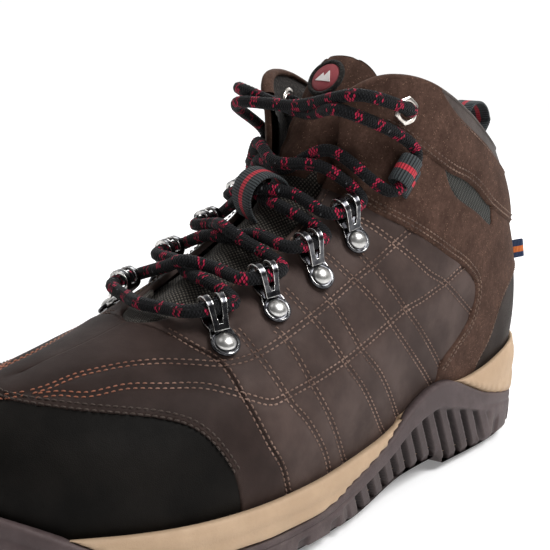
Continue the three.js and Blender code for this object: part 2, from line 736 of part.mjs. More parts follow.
// A strip of even thickness along a path in a plane, as an outline.
function bandOutline(path, thickness) {
  const left = [];
  const right = [];
  path.forEach(([x, y], k) => {
    const [ax, ay] = path[Math.max(k - 1, 0)];
    const [bx, by] = path[Math.min(k + 1, path.length - 1)];
    const size = Math.hypot(bx - ax, by - ay);
    const nx = (-(by - ay) / size) * (thickness / 2);
    const ny = ((bx - ax) / size) * (thickness / 2);
    left.push(new THREE.Vector2(x + nx, y + ny));
    right.push(new THREE.Vector2(x - nx, y - ny));
  });
  return new THREE.Shape([...left, ...right.reverse()]);
}

const arc = (cx, cy, radius, from, to, steps) =>
  Array.from({ length: steps + 1 }, (_, k) => {
    const angle = ((from + ((to - from) * k) / steps) * Math.PI) / 180;
    return [cx + radius * Math.cos(angle), cy + radius * Math.sin(angle)];
  });

// Extrudes an outline drawn along the piece and away from the upper, across the piece.
function acrossPiece(outline, width) {
  const flat = new THREE.ExtrudeGeometry(outline, { depth: width, bevelEnabled: false });
  return flat.translate(0, 0, -width / 2).rotateX(Math.PI / 2);
}

const bendRadius = laceDiameter / 2 + hookGauge / 2 + 0.8;
const hookSeat = 2 * layerGap + hookGauge / 2;
const laceSeat = hookSeat + bendRadius;
function hookSolid() {
  const path = [
    [-5, hookSeat], [hookReach - 3, hookSeat],
    ...arc(hookReach, laceSeat, bendRadius, -90, 95, 6),
    [hookReach - 5, laceSeat + bendRadius + 0.4], [hookReach - 7.5, laceSeat + bendRadius + 1.8],
  ];
  const plate = solidOf(acrossPiece(bandOutline(path, hookGauge), hookWidth));
  return plate.subtract(solidOf(roundPeg(rivetShankRadius + layerGap, -2, 3, 8)));
}

function rivetSolid() {
  const seat = 3 * layerGap + hookGauge;
  const dome = [
    new THREE.Vector2(0, -leatherThickness),
    new THREE.Vector2(rivetShankRadius, -leatherThickness),
    new THREE.Vector2(rivetShankRadius, seat),
    new THREE.Vector2(rivetHeadRadius, seat),
    new THREE.Vector2(rivetHeadRadius * 0.8, seat + 1.1),
    new THREE.Vector2(0, seat + 1.7),
  ];
  return new THREE.LatheGeometry(dome, 8).rotateX(Math.PI / 2);
}

const hook = hookSolid();
sides.forEach(([sideName]) => {
  hookFrames[sideName].forEach((frame, k) => {
    add(`lace_hook_${sideName}_${k + 1}`, geometryOf(hook).applyMatrix4(frame), finish.gunmetal);
    add(`hook_rivet_${sideName}_${k + 1}`, rivetSolid().applyMatrix4(frame), finish.silver);
  });
});

// Eyelets: a six-sided flange and a barrel outside, a washer over the barrel's end inside.
const barrelDepth = leatherThickness + liningThickness + 4 * layerGap + 2.2;
function eyeletSolid() {
  const barrel = solidOf(roundPeg(eyeletBarrelRadius, -barrelDepth, 1, 12));
  const flange = solidOf(roundPeg(eyeletAcross / 2, layerGap + 0.3, layerGap + 1.5, 6));
  return barrel.add(flange).subtract(solidOf(roundPeg(eyeletHoleRadius, -20, 20, 12)));
}
function washerSolid() {
  const disc = solidOf(roundPeg(6, -barrelDepth - 0.6, -barrelDepth + 0.4, 12));
  return disc.subtract(solidOf(roundPeg(eyeletBarrelRadius + layerGap, -20, 20, 12)));
}
sides.forEach(([sideName]) => {
  const frame = eyeletFrames[sideName];
  add(`eyelet_${sideName}`, geometryOf(eyeletSolid()).applyMatrix4(frame), finish.silver);
  add(`eyelet_washer_${sideName}`, geometryOf(washerSolid()).applyMatrix4(frame), finish.silver);
});

// Webbing loops that carry the lace at the ankle: two layers sewn down and an eye at the end.
const eyeRadius = laceDiameter / 2 + 0.7;
const loopReach = 13;
const loopSeat = layerGap + 0.4 + webbingThickness + eyeRadius;
function ankleLoopSolid() {
  const outer = eyeRadius + webbingThickness;
  const low = layerGap + 0.4;
  const thick = 2 * webbingThickness;
  const outline = new THREE.Shape(
    [
      [-4, low], [loopReach, low], ...arc(loopReach, loopSeat, outer, -60, 150, 8),
      [loopReach - outer - 3, low + thick], [-4, low + thick],
    ].map(([x, y]) => new THREE.Vector2(x, y)),
  );
  const eye = arc(loopReach, loopSeat, eyeRadius, 0, 315, 7);
  outline.holes.push(new THREE.Path(eye.map(([x, y]) => new THREE.Vector2(x, y))));
  return acrossPiece(outline, webbingWidth);
}
sides.forEach(([sideName]) => {
  add(`ankle_loop_${sideName}`, ankleLoopSolid().applyMatrix4(loopFrames[sideName]), finish.webbing);
});

// Tongue loop: an arch of webbing across the tongue, over the laces that cross there.
const archU = 6.28;
const archSpan = 9.5;
const archRiseHeight = 13.5;
const archTurn = 0.25;
function tongueLoopSolid() {
  const path = Array.from({ length: 11 }, (_, k) => {
    const angle = (Math.PI * k) / 10;
    return [-archSpan * Math.cos(angle), archRiseHeight * Math.sin(angle) ** 0.8];
  });
  const flat = new THREE.ExtrudeGeometry(bandOutline(path, webbingThickness), {
    depth: webbingWidth, bevelEnabled: false,
  });
  return flat.translate(0, 0, -webbingWidth / 2);
}
const archNormal = normal(archU, 1);
const archAlong = vec(1, 0, 0)
  .cross(archNormal)
  .negate()
  .applyAxisAngle(archNormal, -archTurn);
const archFrame = new THREE.Matrix4()
  .makeBasis(archAlong, archNormal, archAlong.clone().cross(archNormal))
  .setPosition(raised(archU, 1, -0.5));
add("tongue_loop", tongueLoopSolid().applyMatrix4(archFrame), finish.webbing);

// ---- Badge on the tongue ----

const badgeRadius = 6.7;
const badgeRingWidth = 2.4;
const badgeSpot = tonguePoint(flapRows, 2, tongueColumns / 2, 0);
const badgeOut = vec(0, -0.86, 0.51);
const badgeFrame = new THREE.Matrix4()
  .makeBasis(vec(1, 0, 0), badgeOut.clone().cross(vec(1, 0, 0)), badgeOut)
  .setPosition(badgeSpot);
const badgeRing = solidOf(roundPeg(badgeRadius + layerGap + badgeRingWidth, layerGap, 1.5, 20)).subtract(
  solidOf(roundPeg(badgeRadius + layerGap, -5, 5, 20)),
);
add("badge_ring", geometryOf(badgeRing).applyMatrix4(badgeFrame), finish.trimFabric);
add("badge_disc", roundPeg(badgeRadius, layerGap, 1.3, 20).applyMatrix4(badgeFrame), finish.badge);

// ---- Heel pull loop and tag ----

// The loop stands astride the back of the collar, one leg sewn outside and one inside.
const backOuter = (v, height) => raised(12, v, height);
const collarDepth = leatherThickness + liningThickness + 2 * layerGap;
const loopGap = layerGap + webbingThickness / 2;
const legOut = [backOuter(0.9, loopGap), backOuter(0.97, loopGap + 0.5)];
const legIn = [
  backOuter(0.97, -collarDepth - loopGap - 3), backOuter(0.9, -collarDepth - loopGap - 5),
];
const loopRadius = 9.8;
const loopMiddle = [
  (legOut[1].y + legIn[0].y) / 2 + 1,
  backOuter(1, 0).z + heelLoopHeight - loopRadius - webbingThickness / 2,
];
const loopPath = [
  ...legOut.map((p) => [p.y, p.z]),
  ...arc(...loopMiddle, loopRadius, 0, 180, 8),
  ...legIn.map((p) => [p.y, p.z]),
];
const heelLoop = new THREE.ExtrudeGeometry(bandOutline(loopPath, webbingThickness), {
  depth: webbingWidth,
  bevelEnabled: false,
});
heelLoop.translate(0, 0, -webbingWidth / 2);
heelLoop.applyMatrix4(new THREE.Matrix4().makeBasis(vec(0, 1, 0), vec(0, 0, 1), vec(1, 0, 0)));
add("heel_pull_loop", heelLoop, finish.webbing);

const tagSize = vec(8.5, 1.2, 9);
const tagFrame = frameOn(10.95, 0.47, [10.95, 0.6]);
const tag = new THREE.BoxGeometry(tagSize.z, tagSize.y, tagSize.x);
tag.translate(0, 0, tagSize.x / 2 + layerGap);
add("heel_tag", tag.applyMatrix4(tagFrame), finish.tag);

// ---- Lace ----

const local = (frame, x, y, z) => vec(x, y, z).applyMatrix4(frame);
const toToe = { lateral: 1, medial: -1 };

// The points of the lace through a hook or loop, going up the boot.
const through = (frame, t, reach, seat, halfWidth) => [
  local(frame, reach, t * (halfWidth + 3.3), seat),
  local(frame, reach, -t * (halfWidth + 3.3), seat),
];
const throughHook = (sideName, k) =>
  through(hookFrames[sideName][k], toToe[sideName], hookReach, laceSeat, hookWidth / 2);
const throughLoop = (sideName) =>
  through(loopFrames[sideName], toToe[sideName], loopReach, loopSeat, webbingWidth / 2);

// Between one side and the other the lace passes the edge of the facing, the middle of the
// tongue, where one half lies over the other, and the far edge.
const laceLift = laceDiameter / 2 + 0.8;
const overLift = laceDiameter + 0.6;
const crossings = [
  { leave: [4.55, 0.9], middle: [4.65, 1], arrive: [4.75, 0.9] },
  { leave: [5.35, 0.9], middle: [5.45, 1], arrive: [5.55, 0.9] },
  { leave: [6.15, 0.9], middle: [6.28, 1], arrive: [6.4, 0.9] },
  { leave: [7.05, 0.89], free: [0, 3.6, 129], arrive: [7.32, 0.92] },
  { leave: [7.86, 0.99], free: [0.9, 12.5, 151], arrive: [8.1, 1.0], lift: 7 },
];
const tongueFacing = vec(0, -0.87, 0.5);
function crossTo(sideName, k, half) {
  const { leave, middle, free, arrive, lift = 0 } = crossings[k];
  const turned = ([u, v]) => (sideName === "lateral" ? [u, v] : [stationCount - u, v]);
  const across = ([u, v]) => (sideName === "lateral" ? [stationCount - u, v] : [u, v]);
  const over = half === "over" ? overLift : 0;
  const rest = middle ? laceDiameter / 2 - 1.1 : laceLift;
  const mid = middle
    ? raised(...middle, rest + over)
    : vec(...free).addScaledVector(tongueFacing, rest + over);
  return [
    raised(...turned(leave), laceLift + lift + over * 0.25), mid,
    raised(...across(arrive), laceLift + lift + over * 0.25),
  ];
}

// The end of the lace goes in through the eyelet and hangs down inside the shaft.
const laceInside = [[26.5, 36.5, 147], [27, 40, 139], [26.8, 42.5, 130], [26, 43, 118]];
const agletEnd = [25, 42, 101];
const mirrorX = (sideName) => (sideName === "lateral" ? 1 : -1);
function intoEyelet(sideName) {
  const frame = eyeletFrames[sideName];
  return [
    local(frame, 1.6, 0, 6.4), local(frame, 0, 0, 2.6), local(frame, 0, 0, -barrelDepth - 2.6),
    ...laceInside.map(([x, y, z]) => vec(mirrorX(sideName) * x, y, z)),
  ];
}
const other = { lateral: "medial", medial: "lateral" };

// One half, from the bottom bar up: it changes side after each hook.
function laceHalf(first, half) {
  const points = [];
  let sideName = first;
  hookSpots.forEach((_, k) => {
    points.push(...throughHook(sideName, k), ...crossTo(sideName, k, half));
    sideName = other[sideName];
  });
  points.push(...throughLoop(sideName), ...crossTo(sideName, hookSpots.length, half));
  return [...points, ...intoEyelet(other[sideName])];
}

class RouteCurve extends THREE.CatmullRomCurve3 {
  getPointAt(t, target) {
    return this.getPoint(t, target);
  }

  getTangentAt(t, target) {
    return this.getTangent(t, target);
  }
}

const laceBar = [raised(3.85, 0.9, laceLift), raised(3.8, 1, laceLift), raised(20.15, 0.9, laceLift)];
const laceRoute = [
  ...laceHalf("lateral", "under").reverse(), ...laceBar, ...laceHalf("medial", "over"),
];
const laceSection = new THREE.Shape(
  Array.from({ length: 8 }, (_, k) => {
    const angle = (k * Math.PI) / 4;
    return new THREE.Vector2(Math.cos(angle), Math.sin(angle)).multiplyScalar(laceDiameter / 2);
  }),
);
const lace = new THREE.ExtrudeGeometry(laceSection, {
  steps: laceRoute.length - 1,
  bevelEnabled: false,
  extrudePath: new RouteCurve(laceRoute),
});
add("lace", lace, finish.lace);
sides.forEach(([sideName]) => {
  const flip = mirrorX(sideName);
  const [top, end] = [laceInside[laceInside.length - 1], agletEnd].map(([x, y, z]) => vec(flip * x, y, z));
  const way = end.clone().sub(top);
  const aglet = new THREE.CylinderGeometry(2.2, 1.8, way.length() - layerGap, 8);
  const turn = new THREE.Quaternion().setFromUnitVectors(vec(0, -1, 0), way.clone().normalize());
  const centre = top.clone().lerp(end, 0.5).addScaledVector(way.normalize(), layerGap);
  aglet.applyQuaternion(turn).translate(centre.x, centre.y, centre.z);
  add(`aglet_${sideName}`, aglet, finish.aglet);
});

// The box round the whole boot is centred on the origin and stands on z = 0.
const box = new THREE.Box3().setFromObject(boot);
const middle = box.getCenter(vec(0, 0, 0));
boot.children.forEach((mesh) => mesh.geometry.translate(-middle.x, -middle.y, -box.min.z));

export default boot;
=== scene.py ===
import json
import math
import bpy
import numpy as np
from mathutils import Matrix, Vector

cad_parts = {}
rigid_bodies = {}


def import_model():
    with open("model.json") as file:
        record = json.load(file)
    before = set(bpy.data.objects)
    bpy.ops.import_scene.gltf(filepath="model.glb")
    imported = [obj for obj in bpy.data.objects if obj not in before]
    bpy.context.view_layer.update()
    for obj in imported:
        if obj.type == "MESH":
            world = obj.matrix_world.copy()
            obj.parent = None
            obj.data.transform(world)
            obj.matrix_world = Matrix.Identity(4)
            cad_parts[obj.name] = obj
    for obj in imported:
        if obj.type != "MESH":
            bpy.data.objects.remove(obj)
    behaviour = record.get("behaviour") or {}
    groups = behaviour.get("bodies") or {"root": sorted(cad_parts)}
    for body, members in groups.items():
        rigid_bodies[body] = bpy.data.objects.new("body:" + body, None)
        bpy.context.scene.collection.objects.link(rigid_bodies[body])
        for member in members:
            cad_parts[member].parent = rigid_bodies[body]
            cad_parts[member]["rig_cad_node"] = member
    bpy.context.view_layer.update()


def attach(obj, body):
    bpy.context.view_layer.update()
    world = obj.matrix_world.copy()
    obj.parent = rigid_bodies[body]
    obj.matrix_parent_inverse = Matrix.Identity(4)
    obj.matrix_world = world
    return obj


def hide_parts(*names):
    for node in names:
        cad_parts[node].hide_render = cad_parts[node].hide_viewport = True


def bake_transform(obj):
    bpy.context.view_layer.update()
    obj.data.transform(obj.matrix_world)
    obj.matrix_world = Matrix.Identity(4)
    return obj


# Left hiking boot: the toe points along -Y, the outer side along +X, and it stands on z = 0.
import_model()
mm = 0.001
scene = bpy.context.scene

# The surface of the upper
# u counts stations round the foot (0 toe, 12 heel, minus on the inner side), v runs from sole to top.

stations = 24
lastShape = [
    [(-10, -147, 22), (-10, -160, 48), (-8, -142, 63), (-6, -114, 67)],
    [(16, -139, 21), (18, -150, 48), (6, -136, 64), (-5, -112, 68)],
    [(37, -118, 20), (41, -125, 52), (20, -116, 68), (-4, -104, 71)],
    [(50, -88, 19), (56, -90, 56), (27, -88, 74), (-2, -88, 75)],
    [(54, -58, 18), (61, -59, 60), (31, -60, 85), (0, -64, 84)],
    [(52, -27, 18), (59, -27, 66), (34, -32, 99), (0, -38, 97)],
    [(48, 3, 20), (54, 3, 71), (38, -5, 114), (0, -14, 113)],
    [(43, 34, 23), (49, 34, 76), (43, 18, 130), (0, 4, 132)],
    [(41, 62, 27), (46, 64, 78), (46, 34, 138), (24, 6, 164)],
    [(40, 90, 30), (46, 95, 77), (43, 66, 124), (39, 34, 172)],
    [(37, 120, 33), (43, 128, 76), (36, 106, 112), (39, 78, 152)],
    [(26, 142, 35), (32, 152, 76), (26, 132, 112), (29, 116, 133)],
    [(0, 150, 36), (0, 163, 78), (0, 139, 114), (0, 140, 147)],
    [(-25, 142, 35), (-30, 152, 76), (-25, 132, 112), (-28, 116, 133)],
    [(-36, 120, 33), (-41, 128, 76), (-35, 106, 112), (-38, 78, 152)],
    [(-37, 90, 30), (-42, 95, 77), (-41, 66, 124), (-39, 34, 172)],
    [(-34, 62, 27), (-38, 64, 78), (-45, 34, 138), (-24, 6, 164)],
    [(-33, 34, 23), (-38, 34, 76), (-42, 18, 130), (0, 4, 132)],
    [(-38, 3, 20), (-43, 3, 71), (-37, -5, 114), (0, -14, 113)],
    [(-46, -27, 18), (-51, -27, 66), (-34, -32, 99), (0, -38, 97)],
    [(-53, -58, 18), (-58, -59, 60), (-32, -60, 85), (0, -64, 84)],
    [(-54, -88, 19), (-58, -90, 56), (-30, -88, 74), (-2, -88, 75)],
    [(-47, -118, 20), (-50, -125, 52), (-26, -116, 68), (-4, -104, 71)],
    [(-32, -139, 21), (-34, -150, 48), (-19, -136, 64), (-5, -112, 68)],
]
centring = np.array([0.105, -1.014, 0.0])  # puts the middle of the boot's box on the origin
lastPoints = (np.array(lastShape, float) + centring) * mm


def smooth(a, b, x):
    # 0 below a, 1 above b, and an easy curve between them.
    t = np.clip((np.asarray(x, float) - a) / (b - a), 0, 1)
    return t * t * (3 - 2 * t)


def keyed(keys, x):
    # The value at x, from keys of (x, value).
    return np.interp(x, [k[0] for k in keys], [k[1] for k in keys])


def surface(u, v):
    # A point of the upper: a spline round the foot, and a curve of four points up each station.
    u, v = np.broadcast_arrays(np.asarray(u, float), np.asarray(v, float))
    base = np.floor(u).astype(int)
    t = u - base
    along = [
        (1 - t) ** 3 / 6, (3 * t**3 - 6 * t**2 + 4) / 6, (-3 * t**3 + 3 * t**2 + 3 * t + 1) / 6, t**3 / 6
    ]
    up = [(1 - v) ** 3, 3 * v * (1 - v) ** 2, 3 * v**2 * (1 - v), v**3]
    point = np.zeros(u.shape + (3,))
    for k, a in enumerate(along):
        row = lastPoints[(base - 1 + k) % stations]
        for c, b in enumerate(up):
            point += (a * b)[..., None] * row[..., c, :]
    return point


def unit(a):
    return a / np.maximum(np.linalg.norm(a, axis=-1, keepdims=True), 1e-12)


def plainNormal(u, v):
    step = 0.02
    du = surface(u + step, v) - surface(u - step, v)
    dv = surface(u, v + step) - surface(u, v - step)
    return unit(np.cross(du, dv))


def stationOf(u):
    u = np.mod(u, stations)
    return np.minimum(u, stations - u)  # the same on both sides of the foot


def normal(u, v):
    # Near the laced opening both sides share a direction, so the two edges stand level.
    u, v = np.broadcast_arrays(np.asarray(u, float), np.asarray(v, float))
    own = plainNormal(u, np.minimum(v, 0.96))
    share = 0.5 * smooth(0.7, 1, v) * (1 - smooth(6, 7, stationOf(u)))
    other = plainNormal(stations - u, np.minimum(v, 0.96))
    return unit(own * (1 - share)[..., None] + other * share[..., None])


def raised(u, v, height):
    # A point that stands above the upper by a height in millimetres.
    return surface(u, v) + normal(u, v) * np.asarray(height, float)[..., None] * mm


def splineThrough(points, perSpan=8):
    p = np.asarray(points, float)
    ends = np.vstack([2 * p[0] - p[1], p, 2 * p[-1] - p[-2]])
    out = []
    for k in range(len(p) - 1):
        p0, p1, p2, p3 = ends[k : k + 4]
        for t in np.linspace(0, 1, perSpan, endpoint=False):
            out.append(
                0.5 * (
                    2 * p1 + (p2 - p0) * t + (2 * p0 - 5 * p1 + 4 * p2 - p3) * t**2
                    + (3 * p1 - p0 - 3 * p2 + p3) * t**3
                )
            )
    out.append(p[-1])
    return np.array(out)


def evenly(points, spacing):
    # The same line with its points evenly spaced, and its length.
    size = np.linalg.norm(np.diff(points, axis=0), axis=1)
    run = np.concatenate([[0], np.cumsum(size)])
    count = max(2, int(round(run[-1] / spacing)) + 1)
    at = np.linspace(0, run[-1], count)
    return np.stack([np.interp(at, run, points[:, k]) for k in range(points.shape[1])], 1), run[-1]


# Making objects


def makeObject(
    name, verts, faces, materials, body="boot", node=None, slotName=None, faceMaterial=None, values=None,
    rounded=True
):
    mesh = bpy.data.meshes.new(name)
    verts = np.asarray(verts, float)
    if isinstance(faces, np.ndarray):
        faces = faces.tolist()
    mesh.from_pydata(verts.tolist(), [], faces)
    mesh.validate()
    if rounded:
        mesh.polygons.foreach_set("use_smooth", [True] * len(mesh.polygons))
    for key, numbers in (values or {}).items():
        layer = mesh.attributes.new(key, "FLOAT", "POINT")
        layer.data.foreach_set("value", np.asarray(numbers, np.float32))
    for material in materials if isinstance(materials, list) else [materials]:
        mesh.materials.append(material)
    if faceMaterial is not None:
        mesh.polygons.foreach_set("material_index", np.asarray(faceMaterial, np.int32))
    mesh.update()
    obj = bpy.data.objects.new(name, mesh)
    scene.collection.objects.link(obj)
    if body:
        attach(obj, body)
    if node:
        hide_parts(*([node] if isinstance(node, str) else node))
    return obj


def gridFaces(rows, columns, closedRows=False, closedColumns=False, start=0, flip=False):
    # Quads between rows of points, joined round where a way is closed.
    i = np.arange(rows if closedRows else rows - 1)[:, None]
    j = np.arange(columns if closedColumns else columns - 1)[None, :]
    a = i * columns + j
    b = ((i + 1) % rows) * columns + j
    c = ((i + 1) % rows) * columns + (j + 1) % columns
    d = i * columns + (j + 1) % columns
    quads = np.stack(np.broadcast_arrays(a, b, c, d), -1).reshape(-1, 4) + start
    return quads[:, ::-1] if flip else quads


class Shape:
    # The vertices, faces and point values of one piece, gathered bit by bit.

    def __init__(self):
        self.verts, self.faces, self.values, self.count = [], [], {}, 0

    def add(self, verts, faces, **values):
        verts = np.asarray(verts, float).reshape(-1, 3)
        if isinstance(faces, np.ndarray):
            self.faces.extend((faces + self.count).tolist())
        else:
            self.faces.extend([i + self.count for i in face] for face in faces)
        self.verts.append(verts)
        for key, numbers in values.items():
            numbers = np.asarray(numbers, float).reshape(-1) if np.ndim(numbers) else numbers
            self.values.setdefault(key, []).append(np.broadcast_to(numbers, (len(verts),)))
        self.count += len(verts)

    def make(self, name, materials, **options):
        values = {k: np.concatenate(v) for k, v in self.values.items()}
        return makeObject(name, np.concatenate(self.verts), self.faces, materials, values=values, **options)


# Shader groups


def newGroup(name, inputs, outputs):
    tree = bpy.data.node_groups.new(name, "ShaderNodeTree")
    for label, default in inputs.items():
        kind = "NodeSocketColor" if isinstance(default, tuple) else "NodeSocketFloat"
        socket = tree.interface.new_socket(label, in_out="INPUT", socket_type=kind)
        socket.default_value = (*default, 1) if isinstance(default, tuple) else default
    for label, kind in outputs.items():
        tree.interface.new_socket(label, in_out="OUTPUT", socket_type="NodeSocket" + kind)
    return tree, Wires(tree)


class Wires:
    # Short ways to add shader nodes to one tree and to join them.

    def __init__(self, tree):
        self.tree = tree
        self.inside = None
        if isinstance(tree, bpy.types.ShaderNodeTree) and tree.name in bpy.data.node_groups:
            self.inside = tree.nodes.new("NodeGroupInput")
            self.out = tree.nodes.new("NodeGroupOutput")

    def set(self, socket, value):
        if isinstance(value, bpy.types.NodeSocket):
            self.tree.links.new(value, socket)
        elif isinstance(value, tuple) and len(value) == 3 and socket.type == "RGBA":
            socket.default_value = (*value, 1)
        else:
            socket.default_value = value

    def node(self, kind, inputs=None, **settings):
        node = self.tree.nodes.new("ShaderNode" + kind)
        for key, value in settings.items():
            setattr(node, key, value)
        for key, value in (inputs or {}).items():
            self.set(node.inputs[key], value)
        return node

    def math(self, operation, a, b=0.0, c=0.0):
        return self.node("Math", {0: a, 1: b, 2: c}, operation=operation).outputs[0]

    def mix(self, factor, a, b, blend="MIX"):
        node = self.node("Mix", data_type="RGBA", blend_type=blend)
        for index, value in ((0, factor), (6, a), (7, b)):
            self.set(node.inputs[index], value)
        return node.outputs[2]

    def ramp(self, value, low, high, toLow=0.0, toHigh=1.0):
        keys = {"Value": value, "From Min": low, "From Max": high, "To Min": toLow, "To Max": toHigh}
        return self.node("MapRange", keys, interpolation_type="SMOOTHSTEP").outputs[0]

    def noise(self, scale, detail=3.0, rough=0.55, vector=None, out="Fac"):
        keys = {"Scale": scale, "Detail": detail, "Roughness": rough}
        if vector is not None:
            keys["Vector"] = vector
        return self.node("TexNoise", keys).outputs[out]

    def cells(self, scale, feature="F1", out="Distance", vector=None):
        keys = {"Scale": scale}
        if vector is not None:
            keys["Vector"] = vector
        return self.node("TexVoronoi", keys, feature=feature).outputs[out]

    def place(self):
        return self.node("TexCoord").outputs["Object"]

    def stretched(self, vector, scale, rotation=(0, 0, 0)):
        return self.node("Mapping", {"Vector": vector, "Scale": scale, "Rotation": rotation}).outputs[0]

    def attribute(self, name):
        return self.node("Attribute", attribute_name=name).outputs["Fac"]

    def group(self, tree, **inputs):
        node = self.tree.nodes.new("ShaderNodeGroup")
        node.node_tree = tree
        for key, value in inputs.items():
            self.set(node.inputs[key], value)
        return node.outputs


def makeLeatherGrain():
    # Fine pebbling of brushed leather: a height, and a slow patchiness for colour and gloss.
    tree, w = newGroup("leatherGrain", {"Cell Size mm": 0.5}, {"Height": "Float", "Patches": "Float"})
    place = w.place()
    scale = w.math("DIVIDE", 1000.0, w.inside.outputs["Cell Size mm"])
    wobble = w.node(
        "VectorMath", {0: w.noise(160.0, 2.0, vector=place, out="Color"), "Scale": 0.0012},
        operation="SCALE"
    )
    bent = w.node("VectorMath", {0: place, 1: wobble.outputs[0]}, operation="ADD")
    edges = w.cells(scale, "DISTANCE_TO_EDGE", vector=bent.outputs[0])
    pebble = w.ramp(edges, 0.0, 0.28)
    fine = w.noise(w.math("MULTIPLY", scale, 1.7), 3.0, vector=place)
    w.set(
        w.out.inputs["Height"],
        w.math("ADD", w.math("MULTIPLY", pebble, 0.6), w.math("MULTIPLY", fine, 0.4))
    )
    slow = w.noise(38.0, 4.0, 0.6, vector=place)
    w.set(w.out.inputs["Patches"], w.ramp(slow, 0.3, 0.72))
    return tree


def makeNap():
    # Suede nap: short fibres lying many ways, with a few pale ends that catch the light.
    tree, w = newGroup(
        "suedeNap", {"Fibre Scale": 2600.0}, {"Height": "Float", "Pale Ends": "Float", "Brushed": "Float"}
    )
    place = w.place()
    scale = w.inside.outputs["Fibre Scale"]
    fibres = w.noise(scale, 4.0, 0.75, vector=w.stretched(place, (1.0, 0.5, 0.8), (0.4, 0.3, 0.9)))
    crossing = w.noise(
        w.math("MULTIPLY", scale, 0.6), 3.0, 0.7,
        vector=w.stretched(place, (0.5, 1.0, 0.7), (0.9, 0.1, 0.2))
    )
    w.set(w.out.inputs["Height"], w.math("MULTIPLY", w.math("ADD", fibres, crossing), 0.5))
    dots = w.cells(w.math("MULTIPLY", scale, 1.15), "F1", vector=place)
    sparse = w.ramp(w.noise(w.math("MULTIPLY", scale, 0.45), 2.0, vector=place), 0.46, 0.62)
    w.set(
        w.out.inputs["Pale Ends"],
        w.math("MULTIPLY", w.math("SUBTRACT", 1.0, w.ramp(dots, 0.12, 0.34)), sparse)
    )
    w.set(w.out.inputs["Brushed"], w.ramp(w.noise(90.0, 6.0, 0.72, vector=place), 0.15, 0.8))
    return tree


def makeWearAndHollowShade():
    # Rubbed edges, and painted shade in the hollows, both from how sharply the surface bends.
    tree, w = newGroup("edgeWearAndHollowShade", {"Amount": 0.5}, {"Edges": "Float", "Hollow Shade": "Float"})
    bend = w.node("NewGeometry").outputs["Pointiness"]
    broken = w.noise(260.0, 4.0, 0.7, vector=w.place())
    edges = w.math("MULTIPLY", w.ramp(bend, 0.505, 0.56), w.ramp(broken, 0.3, 0.62))
    w.set(w.out.inputs["Edges"], w.math("MULTIPLY", edges, w.inside.outputs["Amount"]))
    # painted shade: the hollows mask darkens concave places, where shade falls
    w.set(
        w.out.inputs["Hollow Shade"], w.math("MULTIPLY", w.ramp(bend, 0.495, 0.44), w.inside.outputs["Amount"])
    )
    return tree


def makeDust():
    # Light dust that lies low on the sole and in patches.
    tree, w = newGroup("dust", {"Low Edge mm": 8.0, "High Edge mm": 60.0}, {"Dust": "Float"})
    place = w.place()
    z = w.node("SeparateXYZ", {0: place}).outputs[2]
    low = w.math("MULTIPLY", w.inside.outputs["Low Edge mm"], mm)
    high = w.math("MULTIPLY", w.inside.outputs["High Edge mm"], mm)
    near = w.math("SUBTRACT", 1.0, w.ramp(z, low, high))
    patchy = w.ramp(w.noise(90.0, 6.0, 0.7, vector=place), 0.42, 0.75)
    w.set(w.out.inputs["Dust"], w.math("MULTIPLY", near, patchy))
    return tree


def makeWeave():
    # Threads over and under each other, from two lengths measured on the cloth.
    tree, w = newGroup(
        "weave", {"Across": 0.0, "Along": 0.0, "Pitch mm": 1.0, "Turn": 0.0},
        {"Height": "Float", "Crowns": "Float"}
    )
    across, along = w.inside.outputs["Across"], w.inside.outputs["Along"]
    turn = w.inside.outputs["Turn"]
    c, s = w.math("COSINE", turn), w.math("SINE", turn)
    p = w.math("SUBTRACT", w.math("MULTIPLY", across, c), w.math("MULTIPLY", along, s))
    q = w.math("ADD", w.math("MULTIPLY", across, s), w.math("MULTIPLY", along, c))
    k = w.math("DIVIDE", math.pi / mm, w.inside.outputs["Pitch mm"])
    a, b = w.math("SINE", w.math("MULTIPLY", p, k)), w.math("SINE", w.math("MULTIPLY", q, k))
    bumps = w.math("ABSOLUTE", w.math("MULTIPLY", a, b))
    w.set(w.out.inputs["Height"], w.math("POWER", bumps, 0.6))
    w.set(w.out.inputs["Crowns"], w.ramp(bumps, 0.35, 0.85))
    return tree


leatherGrain, suedeNap, edgeWearAndHollowShade = makeLeatherGrain(), makeNap(), makeWearAndHollowShade()
dust, weave = makeDust(), makeWeave()
print("shader groups ready")

# Materials


def startMaterial(name, **plain):
    material = bpy.data.materials.new(name)
    material.use_nodes = True
    w = Wires(material.node_tree)
    shader = material.node_tree.nodes["Principled BSDF"]
    for key, value in plain.items():
        w.set(shader.inputs[key.replace("_", " ")], value)
    return material, w, shader


def bump(w, shader, height, distance, strength=1.0, below=None):
    keys = {"Height": height, "Distance": distance * mm, "Strength": strength}
    if below is not None:
        keys["Normal"] = below
    made = w.node("Bump", keys).outputs[0]
    w.set(shader.inputs["Normal"], made)
    return made


